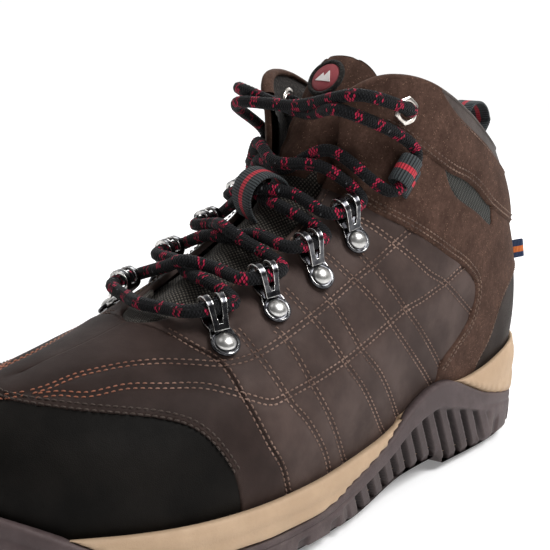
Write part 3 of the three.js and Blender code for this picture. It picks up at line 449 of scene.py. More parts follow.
def leatherMaterial(name, look):
    material, w, shader = startMaterial(name, Specular_IOR_Level=look["gloss"])
    grain = w.group(leatherGrain, **{"Cell Size mm": look["grain"]})
    wearAndShade = w.group(edgeWearAndHollowShade, Amount=look["wearAndShade"])
    shade = w.mix(grain["Patches"], look["dark"], look["light"])
    shade = w.mix(w.math("MULTIPLY", wearAndShade["Edges"], 0.7), shade, look["rubbed"])
    # painted shade: the leather is darkened in its hollows
    shade = w.mix(wearAndShade["Hollow Shade"], shade, look["dark"])
    seam = w.attribute("seam")  # mm from the nearest stitched line
    # painted shade along the sunk stitched grooves and the piece edges
    seamShade = w.math("SUBTRACT", 1.0, w.ramp(seam, 0.7, 2.4))
    shade = w.mix(w.math("MULTIPLY", seamShade, 0.72), shade, look["dark"])
    w.set(shader.inputs["Base Color"], shade)
    rough = w.math("ADD", w.math("MULTIPLY", grain["Height"], 0.12), look["rough"])
    w.set(shader.inputs["Roughness"], w.math("SUBTRACT", rough, w.math("MULTIPLY", grain["Patches"], 0.1)))
    creases = w.noise(95.0, 5.0, 0.62, vector=w.place())
    below = w.node("Bump", {"Height": creases, "Distance": 0.5 * mm, "Strength": 0.35}).outputs[0]
    bump(w, shader, grain["Height"], 0.09, 0.55, below)
    return material


def suedeMaterial(name, look):
    material, w, shader = startMaterial(
        name, Specular_IOR_Level=0.12, Sheen_Weight=0.12, Sheen_Roughness=0.6, Sheen_Tint=look["pale"]
    )
    nap = w.group(suedeNap, **{"Fibre Scale": look["fibre"]})
    shade = w.mix(nap["Brushed"], look["dark"], look["light"])
    shade = w.mix(w.ramp(nap["Height"], 0.44, 0.56), w.mix(0.45, shade, look["dark"]), shade)
    shade = w.mix(w.math("MULTIPLY", nap["Pale Ends"], 0.75), shade, look["pale"])
    w.set(shader.inputs["Base Color"], shade)
    w.set(shader.inputs["Roughness"], w.math("ADD", w.math("MULTIPLY", nap["Height"], 0.2), 0.78))
    bump(w, shader, nap["Height"], 0.35, 0.9)
    return material


def clothMaterial(name, look):
    material, w, shader = startMaterial(name, Specular_IOR_Level=0.2, Sheen_Weight=0.06)
    pattern = w.group(
        weave,
        **{
            "Across": w.attribute("across"), "Along": w.attribute("along"), "Pitch mm": look["pitch"],
            "Turn": look["turn"]
        }
    )
    patches = w.noise(120.0, 4.0, 0.6, vector=w.place())
    shade = w.mix(pattern["Crowns"], look["dark"], look["light"])
    shade = w.mix(w.math("MULTIPLY", w.ramp(patches, 0.35, 0.7), 0.4), shade, look["dark"])
    w.set(shader.inputs["Base Color"], shade)
    w.set(
        shader.inputs["Roughness"],
        w.math("ADD", w.math("MULTIPLY", pattern["Height"], -0.15), look["rough"])
    )
    fuzz = w.node(
        "Bump",
        {"Height": w.noise(3500.0, 3.0, 0.7, vector=w.place()), "Distance": 0.15 * mm, "Strength": 0.5}
    ).outputs[0]
    bump(w, shader, pattern["Height"], look["depth"], 1.0, fuzz)
    return material


def knitMaterial(name, look):
    # A knitted or felted cloth that needs no cloth directions: bindings, lining and covers.
    material, w, shader = startMaterial(name, Specular_IOR_Level=0.15, Sheen_Weight=0.08)
    place = w.place()
    loops = w.cells(look["scale"], "F1", vector=place)
    fibre = w.noise(look["scale"] * 3.0, 3.0, 0.7, vector=place)
    shade = w.mix(w.ramp(loops, 0.15, 0.6), look["light"], look["dark"])
    shade = w.mix(w.math("MULTIPLY", fibre, 0.4), shade, look["dark"])
    w.set(shader.inputs["Base Color"], shade)
    w.set(shader.inputs["Roughness"], w.math("ADD", w.math("MULTIPLY", fibre, 0.15), 0.78))
    bump(w, shader, w.math("SUBTRACT", w.math("MULTIPLY", fibre, 0.5), loops), 0.3, 0.8)
    return material


def rubberMaterial(name, look):
    material, w, shader = startMaterial(name, Specular_IOR_Level=0.3)
    wearAndShade = w.group(edgeWearAndHollowShade, Amount=look["wearAndShade"])
    dusty = w.group(dust, **{"High Edge mm": look["dustTop"]})
    place = w.place()
    pores = w.noise(look["pores"], 4.0, 0.7, vector=place)
    cloudy = w.noise(55.0, 4.0, 0.6, vector=place)
    shade = w.mix(w.ramp(cloudy, 0.35, 0.7), look["dark"], look["light"])
    shade = w.mix(w.math("MULTIPLY", wearAndShade["Edges"], 0.6), shade, look["rubbed"])
    # painted shade: the rubber is darkened in its hollows
    shade = w.mix(w.math("MULTIPLY", wearAndShade["Hollow Shade"], 0.9), shade, look["dark"])
    shade = w.mix(w.math("MULTIPLY", dusty["Dust"], 0.35), shade, look["dusty"])
    grooves = w.math("MULTIPLY", w.attribute("hollow"), 0.85)  # painted shade: 1 at the bottom of a groove in the sole, 0.6 on the tread's underside
    shade = w.mix(grooves, shade, tuple(c * 0.25 for c in look["dark"]))
    w.set(shader.inputs["Base Color"], shade)
    w.set(shader.inputs["Roughness"], w.math("ADD", w.math("MULTIPLY", pores, 0.25), look["rough"]))
    bump(w, shader, pores, 0.2, 0.6)
    return material


def metalMaterial(name, look):
    material, w, shader = startMaterial(name, Metallic=1.0, Specular_IOR_Level=0.5)
    wearAndShade = w.group(edgeWearAndHollowShade, Amount=look["wearAndShade"])
    place = w.place()
    scratches = w.noise(1500.0, 3.0, 0.6, vector=w.stretched(place, (0.12, 1.0, 1.0), (0.2, 0.5, 0.4)))
    tarnish = w.ramp(w.noise(420.0, 4.0, 0.6, vector=place), 0.35, 0.7)
    shade = w.mix(tarnish, look["dark"], look["light"])
    shade = w.mix(wearAndShade["Edges"], shade, look["rubbed"])
    w.set(shader.inputs["Base Color"], shade)
    rough = w.math("ADD", w.math("MULTIPLY", scratches, 0.16), look["rough"])
    w.set(shader.inputs["Roughness"], w.math("SUBTRACT", rough, w.math("MULTIPLY", wearAndShade["Edges"], 0.1)))
    bump(w, shader, scratches, 0.03, 0.3)
    return material


def threadMaterial(name, look):
    material, w, shader = startMaterial(name, Specular_IOR_Level=0.25, Sheen_Weight=0.08)
    place = w.place()
    strands = w.noise(2600.0, 3.0, 0.6, vector=place)
    tone = w.ramp(w.noise(75.0, 3.0, 0.6, vector=place), 0.3, 0.7)
    shade = w.mix(tone, look["dark"], look["light"])
    toeward = w.ramp(
        w.node("SeparateXYZ", {0: place}).outputs[1], look["warmTo"] * mm, look["warmFrom"] * mm
    )
    shade = w.mix(toeward, look["warm"], shade)
    w.set(shader.inputs["Base Color"], w.mix(w.math("MULTIPLY", strands, 0.5), shade, look["dark"]))
    w.set(shader.inputs["Roughness"], w.math("ADD", w.math("MULTIPLY", strands, 0.2), 0.55))
    bump(w, shader, strands, 0.12, 0.8)
    return material


def laceMaterial(name, look):
    # A round braid: two sets of strands cross, and some of them are red or grey.
    material, w, shader = startMaterial(name, Specular_IOR_Level=0.15, Sheen_Weight=0.04)
    along, turn = w.attribute("along"), w.attribute("turn")
    run = w.math("DIVIDE", along, look["pitch"] * mm)
    left = w.math("ADD", run, w.math("MULTIPLY", turn, look["strands"] / 2))
    right = w.math("SUBTRACT", run, w.math("MULTIPLY", turn, look["strands"] / 2))
    waves = [w.math("SINE", w.math("MULTIPLY", way, math.pi)) for way in (left, right)]
    ridge = w.math("ABSOLUTE", w.math("MULTIPLY", *waves))
    cellA, cellB = w.math("FLOOR", left), w.math("FLOOR", right)
    every = look["every"] / look["pitch"]
    step = w.math("MULTIPLY", w.math("ADD", cellA, cellB), 0.5)
    cluster = w.math("ABSOLUTE", w.math("SUBTRACT", w.math("FRACT", w.math("DIVIDE", step, every)), 0.5))
    chosen = w.math("LESS_THAN", cluster, look["clusterShare"] / 2)
    cell = w.node("CombineXYZ", {0: cellA, 1: cellB}).outputs[0]
    mixed = w.node("TexWhiteNoise", {"Vector": cell}, noise_dimensions="2D").outputs["Value"]
    red = w.math("MULTIPLY", chosen, w.math("GREATER_THAN", mixed, look["redGaps"]))
    plain = w.math("SUBTRACT", 1.0, chosen)
    grey = w.math("MULTIPLY", plain, w.math("GREATER_THAN", mixed, look["greyGaps"]))
    crown = w.ramp(ridge, 0.12, 0.55)
    shade = w.mix(crown, look["gap"], look["body"])
    shade = w.mix(w.math("MULTIPLY", red, crown), shade, look["red"])
    shade = w.mix(w.math("MULTIPLY", grey, w.math("MULTIPLY", crown, 0.6)), shade, look["grey"])
    w.set(shader.inputs["Base Color"], shade)
    w.set(shader.inputs["Roughness"], w.math("SUBTRACT", 0.8, w.math("MULTIPLY", ridge, 0.2)))
    bump(w, shader, ridge, 0.35, 0.9)
    return material


def webbingMaterial(name, look):
    material, w, shader = startMaterial(name, Specular_IOR_Level=0.2, Sheen_Weight=0.05)
    along, across = w.attribute("along"), w.attribute("across")  # metres along, and -1 to 1 across
    ribs = w.math("ABSOLUTE", w.math("SINE", w.math("MULTIPLY", along, math.pi / (look["rib"] * mm))))
    threads = w.math("ABSOLUTE", w.math("SINE", w.math("MULTIPLY", across, look["threads"] * math.pi)))
    stripe = w.math("LESS_THAN", w.math("ABSOLUTE", across), look["stripe"])
    shade = w.mix(w.ramp(ribs, 0.2, 0.8), look["dark"], look["light"])
    shade = w.mix(stripe, shade, w.mix(w.ramp(ribs, 0.1, 0.8), look["stripeDark"], look["stripeLight"]))
    w.set(shader.inputs["Base Color"], shade)
    w.set(shader.inputs["Roughness"], w.math("SUBTRACT", 0.85, w.math("MULTIPLY", ribs, 0.2)))
    bump(w, shader, w.math("ADD", ribs, w.math("MULTIPLY", threads, 0.3)), 0.25, 0.9)
    return material


finishes = {
    "nubuck": leatherMaterial("nubuckLeather", dict(
        dark=(0.036, 0.0225, 0.019), light=(0.074, 0.049, 0.042), rubbed=(0.115, 0.08, 0.067), gloss=0.15,
        grain=0.5, wearAndShade=0.5, rough=0.6
    )),
    # a darker copy of the nubuck: painted shade on the vamp
    "shadedVampNubuck": leatherMaterial("shadedVampNubuck", dict(
        dark=(0.020, 0.012, 0.010), light=(0.038, 0.0235, 0.020), rubbed=(0.085, 0.057, 0.047), gloss=0.12,
        grain=0.5, wearAndShade=0.5, rough=0.6
    )),
    "heelLeather": leatherMaterial("heelLeather", dict(
        dark=(0.016, 0.011, 0.009), light=(0.031, 0.022, 0.018), rubbed=(0.06, 0.045, 0.038), gloss=0.1,
        grain=0.6, wearAndShade=0.5, rough=0.65
    )),
    "toeLeather": leatherMaterial("toeLeather", dict(
        dark=(0.0028, 0.0024, 0.002), light=(0.0075, 0.0062, 0.0052), rubbed=(0.024, 0.02, 0.017),
        gloss=0.09, grain=0.6, wearAndShade=0.5, rough=0.6
    )),
    "suede": suedeMaterial("brownSuede", dict(
        dark=(0.026, 0.0125, 0.0085), light=(0.088, 0.048, 0.035), pale=(0.21, 0.125, 0.085), fibre=950.0
    )),
    "meshFabric": clothMaterial("tongueMesh", dict(
        dark=(0.014, 0.012, 0.010), light=(0.13, 0.115, 0.095), pitch=1.15, turn=0.62, rough=0.8, depth=0.35
    )),
    "sideMesh": clothMaterial("sideMesh", dict(
        dark=(0.012, 0.012, 0.010), light=(0.05, 0.05, 0.042), pitch=1.3, turn=0.785, rough=0.75, depth=0.35
    )),
    "binding": leatherMaterial("collarBinding", dict(
        dark=(0.030, 0.022, 0.019), light=(0.066, 0.050, 0.044), rubbed=(0.11, 0.088, 0.078), gloss=0.28,
        grain=0.45, wearAndShade=0.5, rough=0.55
    )),
    "trim": knitMaterial("trimKnit", dict(
        dark=(0.010, 0.009, 0.008), light=(0.040, 0.034, 0.030), scale=1100.0
    )),
    "lining": knitMaterial("liningKnit", dict(
        dark=(0.010, 0.008, 0.007), light=(0.038, 0.030, 0.026), scale=800.0
    )),
    "footbed": knitMaterial("footbedCover", dict(
        dark=(0.012, 0.012, 0.012), light=(0.055, 0.053, 0.05), scale=900.0
    )),
    "foam": knitMaterial("paddingFoam", dict(
        dark=(0.30, 0.27, 0.20), light=(0.55, 0.50, 0.40), scale=500.0
    )),
    "board": knitMaterial("pressedBoard", dict(
        dark=(0.33, 0.25, 0.14), light=(0.56, 0.45, 0.29), scale=400.0
    )),
    "stiffener": rubberMaterial("stiffenerSheet", dict(
        dark=(0.52, 0.46, 0.36), light=(0.66, 0.6, 0.48), rubbed=(0.8, 0.75, 0.65), dusty=(0.5, 0.45, 0.36),
        wearAndShade=0.2, rough=0.5, pores=900.0, dustTop=20.0
    )),
    "midsole": rubberMaterial("tanMidsole", dict(
        dark=(0.42, 0.29, 0.185), light=(0.49, 0.345, 0.225), rubbed=(0.60, 0.45, 0.32),
        dusty=(0.36, 0.27, 0.19), wearAndShade=0.35, rough=0.55, pores=1400.0, dustTop=32.0
    )),
    "rubber": rubberMaterial("soleRubber", dict(
        dark=(0.055, 0.037, 0.037), light=(0.085, 0.060, 0.060), rubbed=(0.15, 0.115, 0.112),
        dusty=(0.17, 0.14, 0.125), wearAndShade=0.5, rough=0.5, pores=1600.0, dustTop=30.0
    )),
    "gunmetal": metalMaterial("gunmetal", dict(
        dark=(0.035, 0.035, 0.04), light=(0.10, 0.10, 0.105), rubbed=(0.82, 0.80, 0.77), wearAndShade=1.0,
        rough=0.14
    )),
    "rivet": metalMaterial("satinRivet", dict(
        dark=(0.36, 0.35, 0.34), light=(0.50, 0.49, 0.47), rubbed=(0.85, 0.84, 0.82), wearAndShade=0.6, rough=0.28
    )),
    "silver": metalMaterial("champagneSilver", dict(
        dark=(0.55, 0.50, 0.45), light=(0.74, 0.69, 0.64), rubbed=(0.95, 0.92, 0.88), wearAndShade=0.6, rough=0.2
    )),
    "steel": metalMaterial("springSteel", dict(
        dark=(0.42, 0.43, 0.44), light=(0.6, 0.61, 0.62), rubbed=(0.8, 0.8, 0.8), wearAndShade=0.3, rough=0.3
    )),
    "thread": threadMaterial("seamThread", dict(
        dark=(0.10, 0.056, 0.041), light=(0.34, 0.225, 0.175), warm=(0.34, 0.115, 0.06), warmTo=-112.0,
        warmFrom=-72.0
    )),
    "darkThread": threadMaterial("darkThread", dict(
        dark=(0.06, 0.034, 0.024), light=(0.23, 0.145, 0.105), warm=(0.05, 0.037, 0.03), warmTo=-70.0,
        warmFrom=-45.0
    )),
    "lace": laceMaterial("laceBraid", dict(
        pitch=1.05, strands=12, every=9.6, clusterShare=0.36, redGaps=0.5, greyGaps=0.99,
        gap=(0.001, 0.001, 0.0015), body=(0.0065, 0.0065, 0.008), red=(0.40, 0.012, 0.05),
        grey=(0.16, 0.16, 0.17)
    )),
    "webbing": webbingMaterial("webbing", dict(
        rib=1.1, threads=6, stripe=0.2, dark=(0.006, 0.007, 0.008), light=(0.045, 0.052, 0.055),
        stripeDark=(0.20, 0.010, 0.018), stripeLight=(0.48, 0.032, 0.05)
    )),
    "tag": webbingMaterial("sideTag", dict(
        rib=0.7, threads=8, stripe=0.35, dark=(0.012, 0.02, 0.05), light=(0.03, 0.05, 0.11),
        stripeDark=(0.45, 0.10, 0.02), stripeLight=(0.75, 0.2, 0.05)
    )),
    "badge": rubberMaterial("badgePrint", dict(
        dark=(0.20, 0.030, 0.038), light=(0.29, 0.050, 0.060), rubbed=(0.40, 0.12, 0.12),
        dusty=(0.4, 0.2, 0.2), wearAndShade=0.3, rough=0.4, pores=1800.0, dustTop=10.0
    )),
    "badgeMark": rubberMaterial("badgeMark", dict(
        dark=(0.62, 0.58, 0.56), light=(0.75, 0.72, 0.70), rubbed=(0.85, 0.82, 0.8), dusty=(0.5, 0.45, 0.4),
        wearAndShade=0.2, rough=0.4, pores=1800.0, dustTop=10.0
    )),
    "aglet": rubberMaterial("agletFilm", dict(
        dark=(0.006, 0.006, 0.007), light=(0.015, 0.015, 0.018), rubbed=(0.05, 0.05, 0.05),
        dusty=(0.02, 0.02, 0.02), wearAndShade=0.3, rough=0.18, pores=900.0, dustTop=10.0
    )),
}
print("materials ready")

# Upper: seams, pieces and their layers

toeCapSeam = [
    (-0.15, 0.83), (0, 0.83), (0.8, 0.78), (1.56, 0.69), (2.33, 0.57), (2.97, 0.46), (3.31, 0.36),
    (3.6, 0.18), (3.72, -0.04)
]
vampSeam = [(3.5, 1.03), (3.72, 0.74), (3.91, 0.57), (3.96, 0.41), (4.1, 0.25), (4.3, 0.14), (4.48, -0.04)]
suedeFrontSeam = [
    (6.6, 1.0), (6.85, 0.8), (6.94, 0.77), (7.1, 0.67), (7.58, 0.56), (8.18, 0.47), (8.64, 0.42),
    (8.88, 0.36), (8.68, 0.26), (8.28, 0.2), (7.86, 0.14), (7.62, -0.04)
]
heelSeam = [
    (8.86, -0.04), (8.98, 0.08), (9.32, 0.16), (9.62, 0.27), (9.92, 0.33), (10.5, 0.39), (11.2, 0.42),
    (12, 0.43)
]
collarSeam = [
    (7.72, 1.04), (8.05, 0.87), (8.46, 0.77), (8.83, 0.72), (9.18, 0.71), (9.42, 0.69), (9.71, 0.65),
    (10.3, 0.62), (11, 0.6), (12, 0.59)
]
windowSeam = [(8.8, 0.74), (8.77, 0.68), (8.86, 0.64), (9.27, 0.61), (9.6, 0.58), (9.74, 0.66)]
backTrimSeam = [(9.25, 1.04), (9.47, 0.94), (10.15, 0.92), (10.71, 0.89), (11.3, 0.86), (12, 0.85)]
facingEdge = [
    (3.5, 1.03), (3.62, 0.93), (3.9, 0.875), (4.5, 0.845), (5.5, 0.83), (6.4, 0.84), (7.1, 0.88),
    (7.6, 0.94), (7.95, 1.04)
]
trimEdge = [(3.82, 1.03), (3.92, 0.95), (4.15, 0.9), (4.5, 0.82)]

# Double rows of stitches: two long curves along the side and eight that cross them.
sideLines = {
    "upperCurve": [
        (1.46, 0.77), (1.82, 0.78), (2.27, 0.80), (2.82, 0.77), (3.25, 0.71), (3.62, 0.63), (3.91, 0.57),
        (4.38, 0.53), (5.29, 0.53), (6.19, 0.54), (6.60, 0.54), (7.20, 0.55), (7.62, 0.56)
    ],
    "lowerCurve": [
        (1.56, 0.74), (1.95, 0.72), (2.30, 0.67), (2.76, 0.65), (3.15, 0.59), (3.53, 0.53), (3.82, 0.46),
        (4.02, 0.41), (4.26, 0.36), (4.54, 0.35), (5.56, 0.34), (6.41, 0.35), (7.00, 0.36), (7.53, 0.36),
        (8.12, 0.38), (8.50, 0.41)
    ],
    "cross1": [
        (3.69, 0.83), (3.76, 0.7), (3.91, 0.57), (3.96, 0.41), (4.10, 0.25), (4.30, 0.14), (4.42, 0.05)
    ],
    "cross2": [(4.33, 0.67), (4.37, 0.52), (4.53, 0.34), (4.76, 0.24), (5.07, 0.11), (5.2, 0.04)],
    "cross3": [(4.74, 0.58), (4.80, 0.53), (4.92, 0.36), (5.13, 0.23), (5.49, 0.06)],
    "cross4": [(5.20, 0.68), (5.29, 0.54), (5.57, 0.35), (5.90, 0.23), (6.39, 0.07)],
    "cross5": [(5.63, 0.58), (5.69, 0.53), (5.93, 0.35), (6.32, 0.23), (6.74, 0.09)],
    "cross6": [(6.01, 0.68), (6.20, 0.54), (6.67, 0.35), (7.06, 0.24), (7.60, 0.12)],
    "cross7": [(6.50, 0.60), (6.60, 0.54), (6.99, 0.38), (7.36, 0.28), (7.80, 0.17)],
    "cross8": [(6.81, 0.69), (7.20, 0.55), (7.72, 0.43), (8.12, 0.38), (8.6, 0.3)],
}
# joins the upper curves at the toe
toeCurve = [(-1.46, 0.77), (-0.7, 0.775), (0, 0.78), (0.7, 0.775), (1.46, 0.77)]


def carriedOn(points, share=0.8):
    # The same line carried on under the piece it runs into.
    (u0, v0), (u1, v1) = points[-2:]
    return [*points, (u1 + (u1 - u0) * share, max(v1 + (v1 - v0) * share, 0.0))]


sideLines = {name: carriedOn(points) for name, points in sideLines.items()}

# Each piece: its outline beyond the seams, its layer (higher lies on top) and its finish.
top, bottom = 1.12, -0.12
upperPieces = {
    "quarter": dict(
        layer=1, outline=[(-0.5, bottom), (12.5, bottom), (12.5, top), (-0.5, top)], finish="nubuck"
    ),
    "vamp": dict(
        layer=1, outline=[(-0.5, top), (3.5, top), *vampSeam, (4.48, bottom), (-0.5, bottom)],
        finish="shadedVampNubuck"
    ),
    "toe_cap": dict(
        layer=0, outline=[(-0.5, bottom), (-0.5, 0.83), *toeCapSeam, (3.72, bottom)], finish="toeLeather"
    ),
    "ankle_suede": dict(
        layer=2, outline=[(6.5, top), *suedeFrontSeam, (7.62, bottom), (12.5, bottom), (12.5, top)],
        finish="suede"
    ),
    "heel_panel": dict(
        layer=1, outline=[(8.86, bottom), *heelSeam, (12.5, 0.43), (12.5, bottom)], finish="heelLeather"
    ),
    "collar_suede": dict(
        layer=3, outline=[(7.7, top), *collarSeam, (12.5, 0.59), (12.5, top)], finish="suede"
    ),
    "collar_back_trim": dict(
        layer=2, outline=[(9.25, top), *backTrimSeam, (12.5, 0.85), (12.5, top)], finish="binding"
    ),
    "mesh_window": dict(
        layer=1, outline=[*windowSeam, (9.42, 0.695), (9.18, 0.712), (8.83, 0.722)], finish="sideMesh"
    ),
    "opening": dict(layer=-1, outline=[(3.5, top), *facingEdge, (7.95, top)], finish=None),
    "throat_trim": dict(
        layer=0,
        outline=[
            (3.5, top), (3.5, 1.03), (3.62, 0.93), (3.9, 0.875), (4.3, 0.86), (4.15, 0.9), (3.92, 0.95),
            (3.82, 1.03), (3.82, top)
        ],
        finish="meshFabric"
    ),
}
upper = dict(
    columnsPerStation=34,
    rows=150,
    layerStep=0.55,  # how far each layer of leather stands above the next
    groove=0.62,  # how deep the stitched lines sink
    grooveWidth=2.3,
    edgeRound=1.1,
    edgeDrop=0.5,
    snap=2.5,  # an edge nearer than this to a seam is drawn onto it
    thickness=1.7,
    underlap=4,  # grid rows that a lower piece runs on beneath a higher one
    collarPuff=1.9,
    stationLong=31,  # rough millimetres to one u and to one v, for the weave
    sideTall=135,
    collarTall=110,
)
noSeam = 9.0  # millimetres, read as no stitched line near


def curveOf(points):
    return splineThrough(points, 6)


def insidePolygon(points, x, y):
    # Which of the places lie inside an outline.
    inside = np.zeros(x.shape, bool)
    for (x0, y0), (x1, y1) in zip(points, [*points[1:], points[0]]):
        if y0 == y1:
            continue
        crosses = ((y0 > y) != (y1 > y)) & (x < (x1 - x0) * (y - y0) / (y1 - y0) + x0)
        inside ^= crosses
    return inside


def nearestOnLines(lines, points, reach):
    # For each point, how far the nearest line is and where on it.
    best = np.full(len(points), reach * 1.0)
    place = np.array(points)
    for line in lines:
        lo, hi = line.min(0) - reach, line.max(0) + reach
        near = np.where(np.all((points > lo) & (points < hi), axis=1))[0]
        p = points[near]
        for a, b in zip(line[:-1], line[1:]):
            ab = b - a
            t = np.clip(((p - a) @ ab) / max(ab @ ab, 1e-18), 0, 1)
            foot = a + t[:, None] * ab
            d = np.linalg.norm(p - foot, axis=1)
            closer = d < best[near]
            best[near[closer]] = d[closer]
            place[near[closer]] = foot[closer]
    return best, place


columns = stations * upper["columnsPerStation"]
gridU = np.arange(columns) / upper["columnsPerStation"] - 12
gridV = np.linspace(-0.03, 1.0, upper["rows"] + 1)
uu, vv = np.meshgrid(gridU, gridV, indexing="ij")
cellU, cellV = np.meshgrid(
    gridU + 0.5 / upper["columnsPerStation"], (gridV[1:] + gridV[:-1]) / 2, indexing="ij"
)
label = np.zeros(cellU.shape, int)
names = list(upperPieces)
smoothSeams = {
    "toe_cap": toeCapSeam, "vamp": vampSeam, "ankle_suede": suedeFrontSeam, "heel_panel": heelSeam,
    "collar_suede": collarSeam, "collar_back_trim": backTrimSeam, "opening": facingEdge,
}


def smoothOutline(name):
    outline = upperPieces[name]["outline"]
    seam = smoothSeams.get(name)
    if seam is None:
        return outline
    start = outline.index(seam[0])
    fine = [tuple(p) for p in curveOf(seam)]
    return outline[:start] + fine + outline[start + len(seam) :]


for index, name in enumerate(names):
    label[insidePolygon(smoothOutline(name), np.abs(cellU), cellV)] = index
layerOf = np.array([upperPieces[n]["layer"] for n in names])
cellLayer = layerOf[label]

seamLines = [
    curveOf(s)
    for s in (
        toeCapSeam, suedeFrontSeam, heelSeam, collarSeam, windowSeam, backTrimSeam, facingEdge, trimEdge,
        vampSeam
    )
]
flatScale = np.array([30.0, 130.0])  # rough millimetres to one u and one v, for snapping edges to seams
flatSeams = [np.abs(line) * flatScale for line in seamLines]


def stitchedPath(points, flip=1):
    line = curveOf(points)
    return surface(flip * line[:, 0], line[:, 1]), line * [flip, 1]


position = surface(uu, vv)
grooveLines = [stitchedPath(points, flip)[0] / mm for points in sideLines.values() for flip in (1, -1)]
grooveLines += [stitchedPath(toeCurve)[0] / mm]
grooveDistance, _ = nearestOnLines(grooveLines, position.reshape(-1, 3) / mm, noSeam)
grooveDistance = grooveDistance.reshape(uu.shape)
collarLine = curveOf(collarSeam)
collarV = np.interp(np.abs(uu), collarLine[:, 0], collarLine[:, 1])
share = np.clip((vv - collarV) / np.maximum(1 - collarV, 0.02), 0, 1)
puff = upper["collarPuff"] * np.sin(math.pi * share**0.8) * smooth(8.1, 9.0, np.abs(uu)) * (vv > collarV)
leatherRelief = -upper["groove"] * np.exp(-((grooveDistance / upper["grooveWidth"]) ** 2))
print("upper laid out")


def grown(mask, steps):
    # The marked cells, widened by a few cells.
    for _ in range(steps):
        wide = mask | np.roll(mask, 1, 0) | np.roll(mask, -1, 0)
        wide[:, 1:] |= mask[:, :-1]
        wide[:, :-1] |= mask[:, 1:]
        mask = wide
    return mask


def upperPiece(name, objectName, sideMask, nodes, slotName):
    index = names.index(name)
    spec = upperPieces[name]
    own = (label == index) & sideMask
    reach = grown(own, upper["underlap"]) & (cellLayer > spec["layer"]) & (label != names.index("opening"))
    cells = own | reach
    i, j = np.where(cells)
    rows, ahead = gridV.size, (i + 1) % columns
    corners = np.stack([i * rows + j, ahead * rows + j, ahead * rows + j + 1, i * rows + j + 1], 1)
    used, faces = np.unique(corners, return_inverse=True)
    faces = faces.reshape(-1, 4)
    ui, vi = used // rows, used % rows
    u, v = gridU[ui].copy(), gridV[vi].copy()
    # Edge loops of the chosen cells, and which of them end on a seam.
    edges = np.concatenate([faces[:, [0, 1]], faces[:, [1, 2]], faces[:, [2, 3]], faces[:, [3, 0]]])
    key = np.sort(edges, 1)
    _, first, count = np.unique(key, axis=0, return_index=True, return_counts=True)
    rim = edges[first[count == 1]]
    rimVerts = np.unique(rim)
    flat = np.stack([np.abs(u[rimVerts]), v[rimVerts]], 1) * flatScale
    gap, place = nearestOnLines(flatSeams, flat, upper["snap"] + 0.1)
    sign = np.where(u[rimVerts] < 0, -1, 1)
    near = gap < upper["snap"]
    u[rimVerts[near]] = (place[near, 0] / flatScale[0]) * sign[near]
    v[rimVerts[near]] = np.clip(place[near, 1] / flatScale[1], gridV[0], 1)
    snapped = rimVerts[near]
    # Height: the layer, the sunk stitch lines, the collar's puff and the rolled edge.
    points = surface(u, v)
    n3 = normal(u, v)
    edgePoints = points[snapped] / mm
    edgeGap = np.full(len(points), noSeam)
    if len(edgePoints):
        blockSize = 4000  # points measured at a time, to spare memory
        for start in range(0, len(points), blockSize):
            block = points[start : start + blockSize] / mm
            d = np.sqrt(((block[:, None, :] - edgePoints[None]) ** 2).sum(-1)).min(1)
            edgeGap[start : start + blockSize] = d
    base = (spec["layer"] - 1) * upper["layerStep"]
    height = base - upper["edgeDrop"] * (1 - smooth(0, upper["edgeRound"], edgeGap)) * (spec["layer"] > -1)
    if spec["finish"] in ("nubuck", "shadedVampNubuck", "toeLeather"):
        height = height + leatherRelief[ui, vi]
    height = height + puff[ui, vi] * (name in ("collar_suede", "collar_back_trim"))
    outer = points + n3 * height[:, None] * mm
    inner = points[rimVerts] + n3[rimVerts] * (height[rimVerts, None] - upper["thickness"]) * mm
    lookup = np.full(len(used), -1)
    lookup[rimVerts] = np.arange(len(rimVerts)) + len(used)
    walls = np.stack([rim[:, 1], rim[:, 0], lookup[rim[:, 0]], lookup[rim[:, 1]]], 1)
    verts = np.concatenate([outer, inner])
    seam = np.concatenate([np.minimum(grooveDistance[ui, vi], edgeGap + 1.0), np.full(len(rimVerts), 0.0)])
    along = np.concatenate([u, u[rimVerts]]) * upper["stationLong"] * mm
    across = np.concatenate([v, v[rimVerts]]) * upper["sideTall"] * mm
    values = {"seam": seam, "along": along, "across": across}
    allFaces = np.concatenate([faces, walls])
    return makeObject(
        objectName, verts, allFaces, finishes[spec["finish"]], node=nodes, slotName=slotName, values=values
    )


everywhere = np.ones(cellU.shape, bool)
lateral, medial = cellU > 0, cellU < 0
for name, slotName in (
    ("toe_cap", "toe_leather"), ("vamp", "nubuck"), ("heel_panel", "toe_leather"),
    ("collar_back_trim", "trim_fabric"), ("throat_trim", "mesh_fabric")
):
    upperPiece(name, name + "_skin", everywhere, [name], slotName)
for side, mask in (("lateral", lateral), ("medial", medial)):
    for name, slotName in (
        ("quarter", "nubuck"), ("ankle_suede", "suede"), ("collar_suede", "suede"),
        ("mesh_window", "mesh_fabric")
    ):
        upperPiece(name, f"{name}_{side}_skin", mask, [f"{name}_{side}"], slotName)
print("upper pieces made")

# Stitches

stitch = dict(length=1.7, gap=0.7, radius=0.33, apart=1.0)


